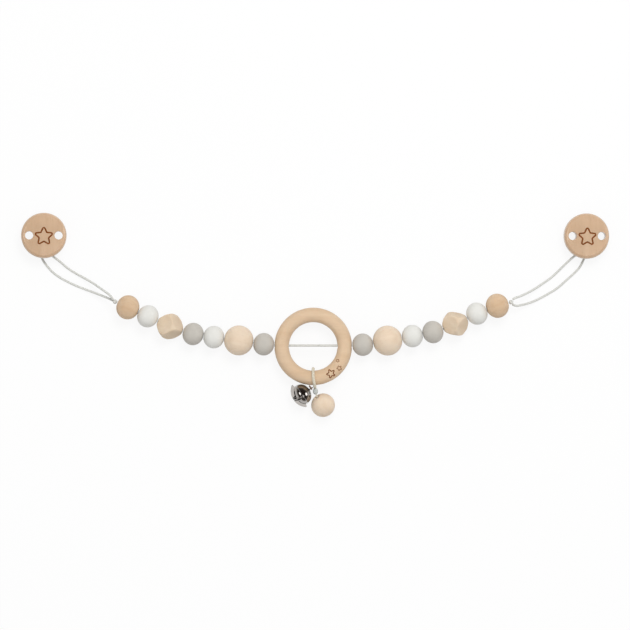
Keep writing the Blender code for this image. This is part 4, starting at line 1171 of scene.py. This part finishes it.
def add_bell_cup(place):
    """The cup: a shell with raised lips along two crossed slots, which part its petals."""
    name = "bell_cup_plated"
    radius, ridge = BELL_DIAMETER / 2, BELL_RIDGE_DIAMETER / 2
    seam, lip = GAP / 2, BELL_RIDGE_HEIGHT / 2
    profile = dome(radius, BELL_CUP_HEIGHT, lip) + [(ridge, lip), (ridge, seam), (0, seam)]
    cup = add_piece(name, lathe_mesh(name, profile, BELL_SEGMENTS), NICKEL, "bell",
                    ["bell_cup"], place)
    quarters = (Matrix.Identity(4), Matrix.Rotation(math.pi / 2, 4, 'Z'))
    for quarter in quarters:
        fin = turned_tool("crest", crest_profile(), CREST_SEGMENTS, place)
        slab = box_tool("slab", (2 * BELL_CREST_WIDTH, BELL_SLOT + 2 * BELL_LIP,
                                 3 * BELL_CREST_HEIGHT), place @ quarter)
        cut(fin, [slab], 'INTERSECT')
        cut(cup, [fin], 'UNION')
    hollow = dome(radius - BELL_SHEET, BELL_CUP_HEIGHT - BELL_SHEET, seam)
    hollow += [(radius - BELL_SHEET, -MM), (0, -MM)]
    tools = [turned_tool("hollow", hollow, BELL_SEGMENTS, place)]
    slot_foot = BELL_CREST_CORNER_HEIGHT - BELL_CREST_END
    lift = Matrix.Translation((0, 0, slot_foot + BELL_CREST_HEIGHT))
    for quarter in quarters:
        tools.append(box_tool("slot", (2 * BELL_CREST_WIDTH, BELL_SLOT, 2 * BELL_CREST_HEIGHT),
                              place @ quarter @ lift))
    mouth = [(0, 2 * BELL_CREST_HEIGHT), (BELL_MOUTH_DIAMETER / 2, 2 * BELL_CREST_HEIGHT),
             (BELL_MOUTH_DIAMETER / 2, BELL_CREST_HEIGHT / 2), (0, BELL_CREST_HEIGHT / 2)]
    tools.append(turned_tool("mouth", mouth, BORE_SEGMENTS, place))
    cut(cup, tools)
    smooth_with_edges(cup.data, BELL_EDGE)


def add_bell():
    place = bell_matrix()
    add_bell_cap(place)
    add_bell_cup(place @ Matrix.Rotation(math.radians(BELL_CUP_TURN), 4, 'Z'))
    eased_copy("bell_pea", "bell_pea_plated", STEEL, "pea",
               EASED_WIDTHS["pea"], 1)


# Studio

def add_floor():
    """A white table: pure white to the camera and in the metal but for a soft shadow, and
    less bright in the light that it throws back up at the toy."""
    bpy.ops.mesh.primitive_plane_add(size=TABLE_SIZE, location=(0, 0, -TABLE_DROP))
    floor = bpy.context.object
    floor.name = "floor"
    made, tree, shader = new_material("floor_white")
    rays = tree.nodes.new("ShaderNodeLightPath").outputs
    tone = tree.mix(rays["Is Camera Ray"], grey(TABLE_LIT), grey(TABLE_SEEN))
    tree.set_inputs(shader, {"Base Color": tone, "Roughness": 0.9, "Specular IOR Level": 0.1})
    glow = tree.add("Emission", "Emission", {"Strength": 1.0})
    seen = rays["Is Camera Ray"]
    for ray in ("Is Glossy Ray", "Is Transmission Ray"):
        seen = tree.add("Math", 0, {0: seen, 1: rays[ray]}, operation='MAXIMUM')
    share = tree.add("Math", 0, {0: seen, 1: TABLE_GLOW}, operation='MULTIPLY')
    look = tree.add("MixShader", "Shader", {"Fac": share, 1: shader.outputs["BSDF"], 2: glow})
    tree.set_inputs(tree.nodes["Material Output"], {"Surface": look})
    floor.data.materials.append(made)


def add_key_light():
    data = bpy.data.lights.new("key_light", 'AREA')
    data.shape = 'RECTANGLE'
    data.size = data.size_y = KEY_LIGHT_SIZE
    data.energy = KEY_LIGHT_POWER
    lamp = add_object("key_light", data)
    lamp.location = KEY_LIGHT_PLACE
    lamp.rotation_euler = (-Vector(KEY_LIGHT_PLACE)).to_track_quat('-Z', 'Y').to_euler()
    lamp.visible_glossy = False


def light_world():
    """Even white light for the toy, a white backdrop for the camera, and in the metal a dark
    ceiling with the soft boxes over the table."""
    world = bpy.data.worlds.new("studio")
    bpy.context.scene.world = world
    tree = NodeTree(world)
    even = tree.nodes["Background"]
    tree.set_inputs(even, {"Color": WHITE, "Strength": WORLD_STRENGTH})
    toward = tree.add("TexCoord", "Generated", {})
    tone = tree.ramp(tree.add("SeparateXYZ", "Z", {"Vector": toward}), CEILING)
    for direction, edge, brightness in SOFT_BOXES:
        match = tree.add("VectorMath", "Value", {
            0: toward, 1: Vector(direction).normalized()}, operation='DOT_PRODUCT')
        box = tree.between(match, grey(0.0), grey(brightness), edge - SOFT_BOX_FADE, edge)
        tone = tree.mix(1.0, tone, box, 'ADD')
    mirror = tree.add("Background", "Background", {"Color": tone})
    backdrop = tree.add("Background", "Background", {"Color": WHITE})
    rays = tree.nodes.new("ShaderNodeLightPath").outputs
    shown = even.outputs["Background"]
    for ray, seen in (("Is Glossy Ray", mirror), ("Is Camera Ray", backdrop)):
        shown = tree.add("MixShader", "Shader", {"Fac": rays[ray], 1: shown, 2: seen})
    tree.set_inputs(tree.nodes["World Output"], {"Surface": shown})


make_camera()
add_loops()
add_link_cords()
add_end_knots()
add_beads()
add_cut_beads()
add_ring()
add_discs()
add_clip_metal()
add_pendant_loop()
add_pendant_knot()
add_bell_tie()
add_pendant_bead()
add_bell()
add_floor()
light_world()
add_key_light()
bpy.context.scene.view_settings.view_transform = 'Standard'
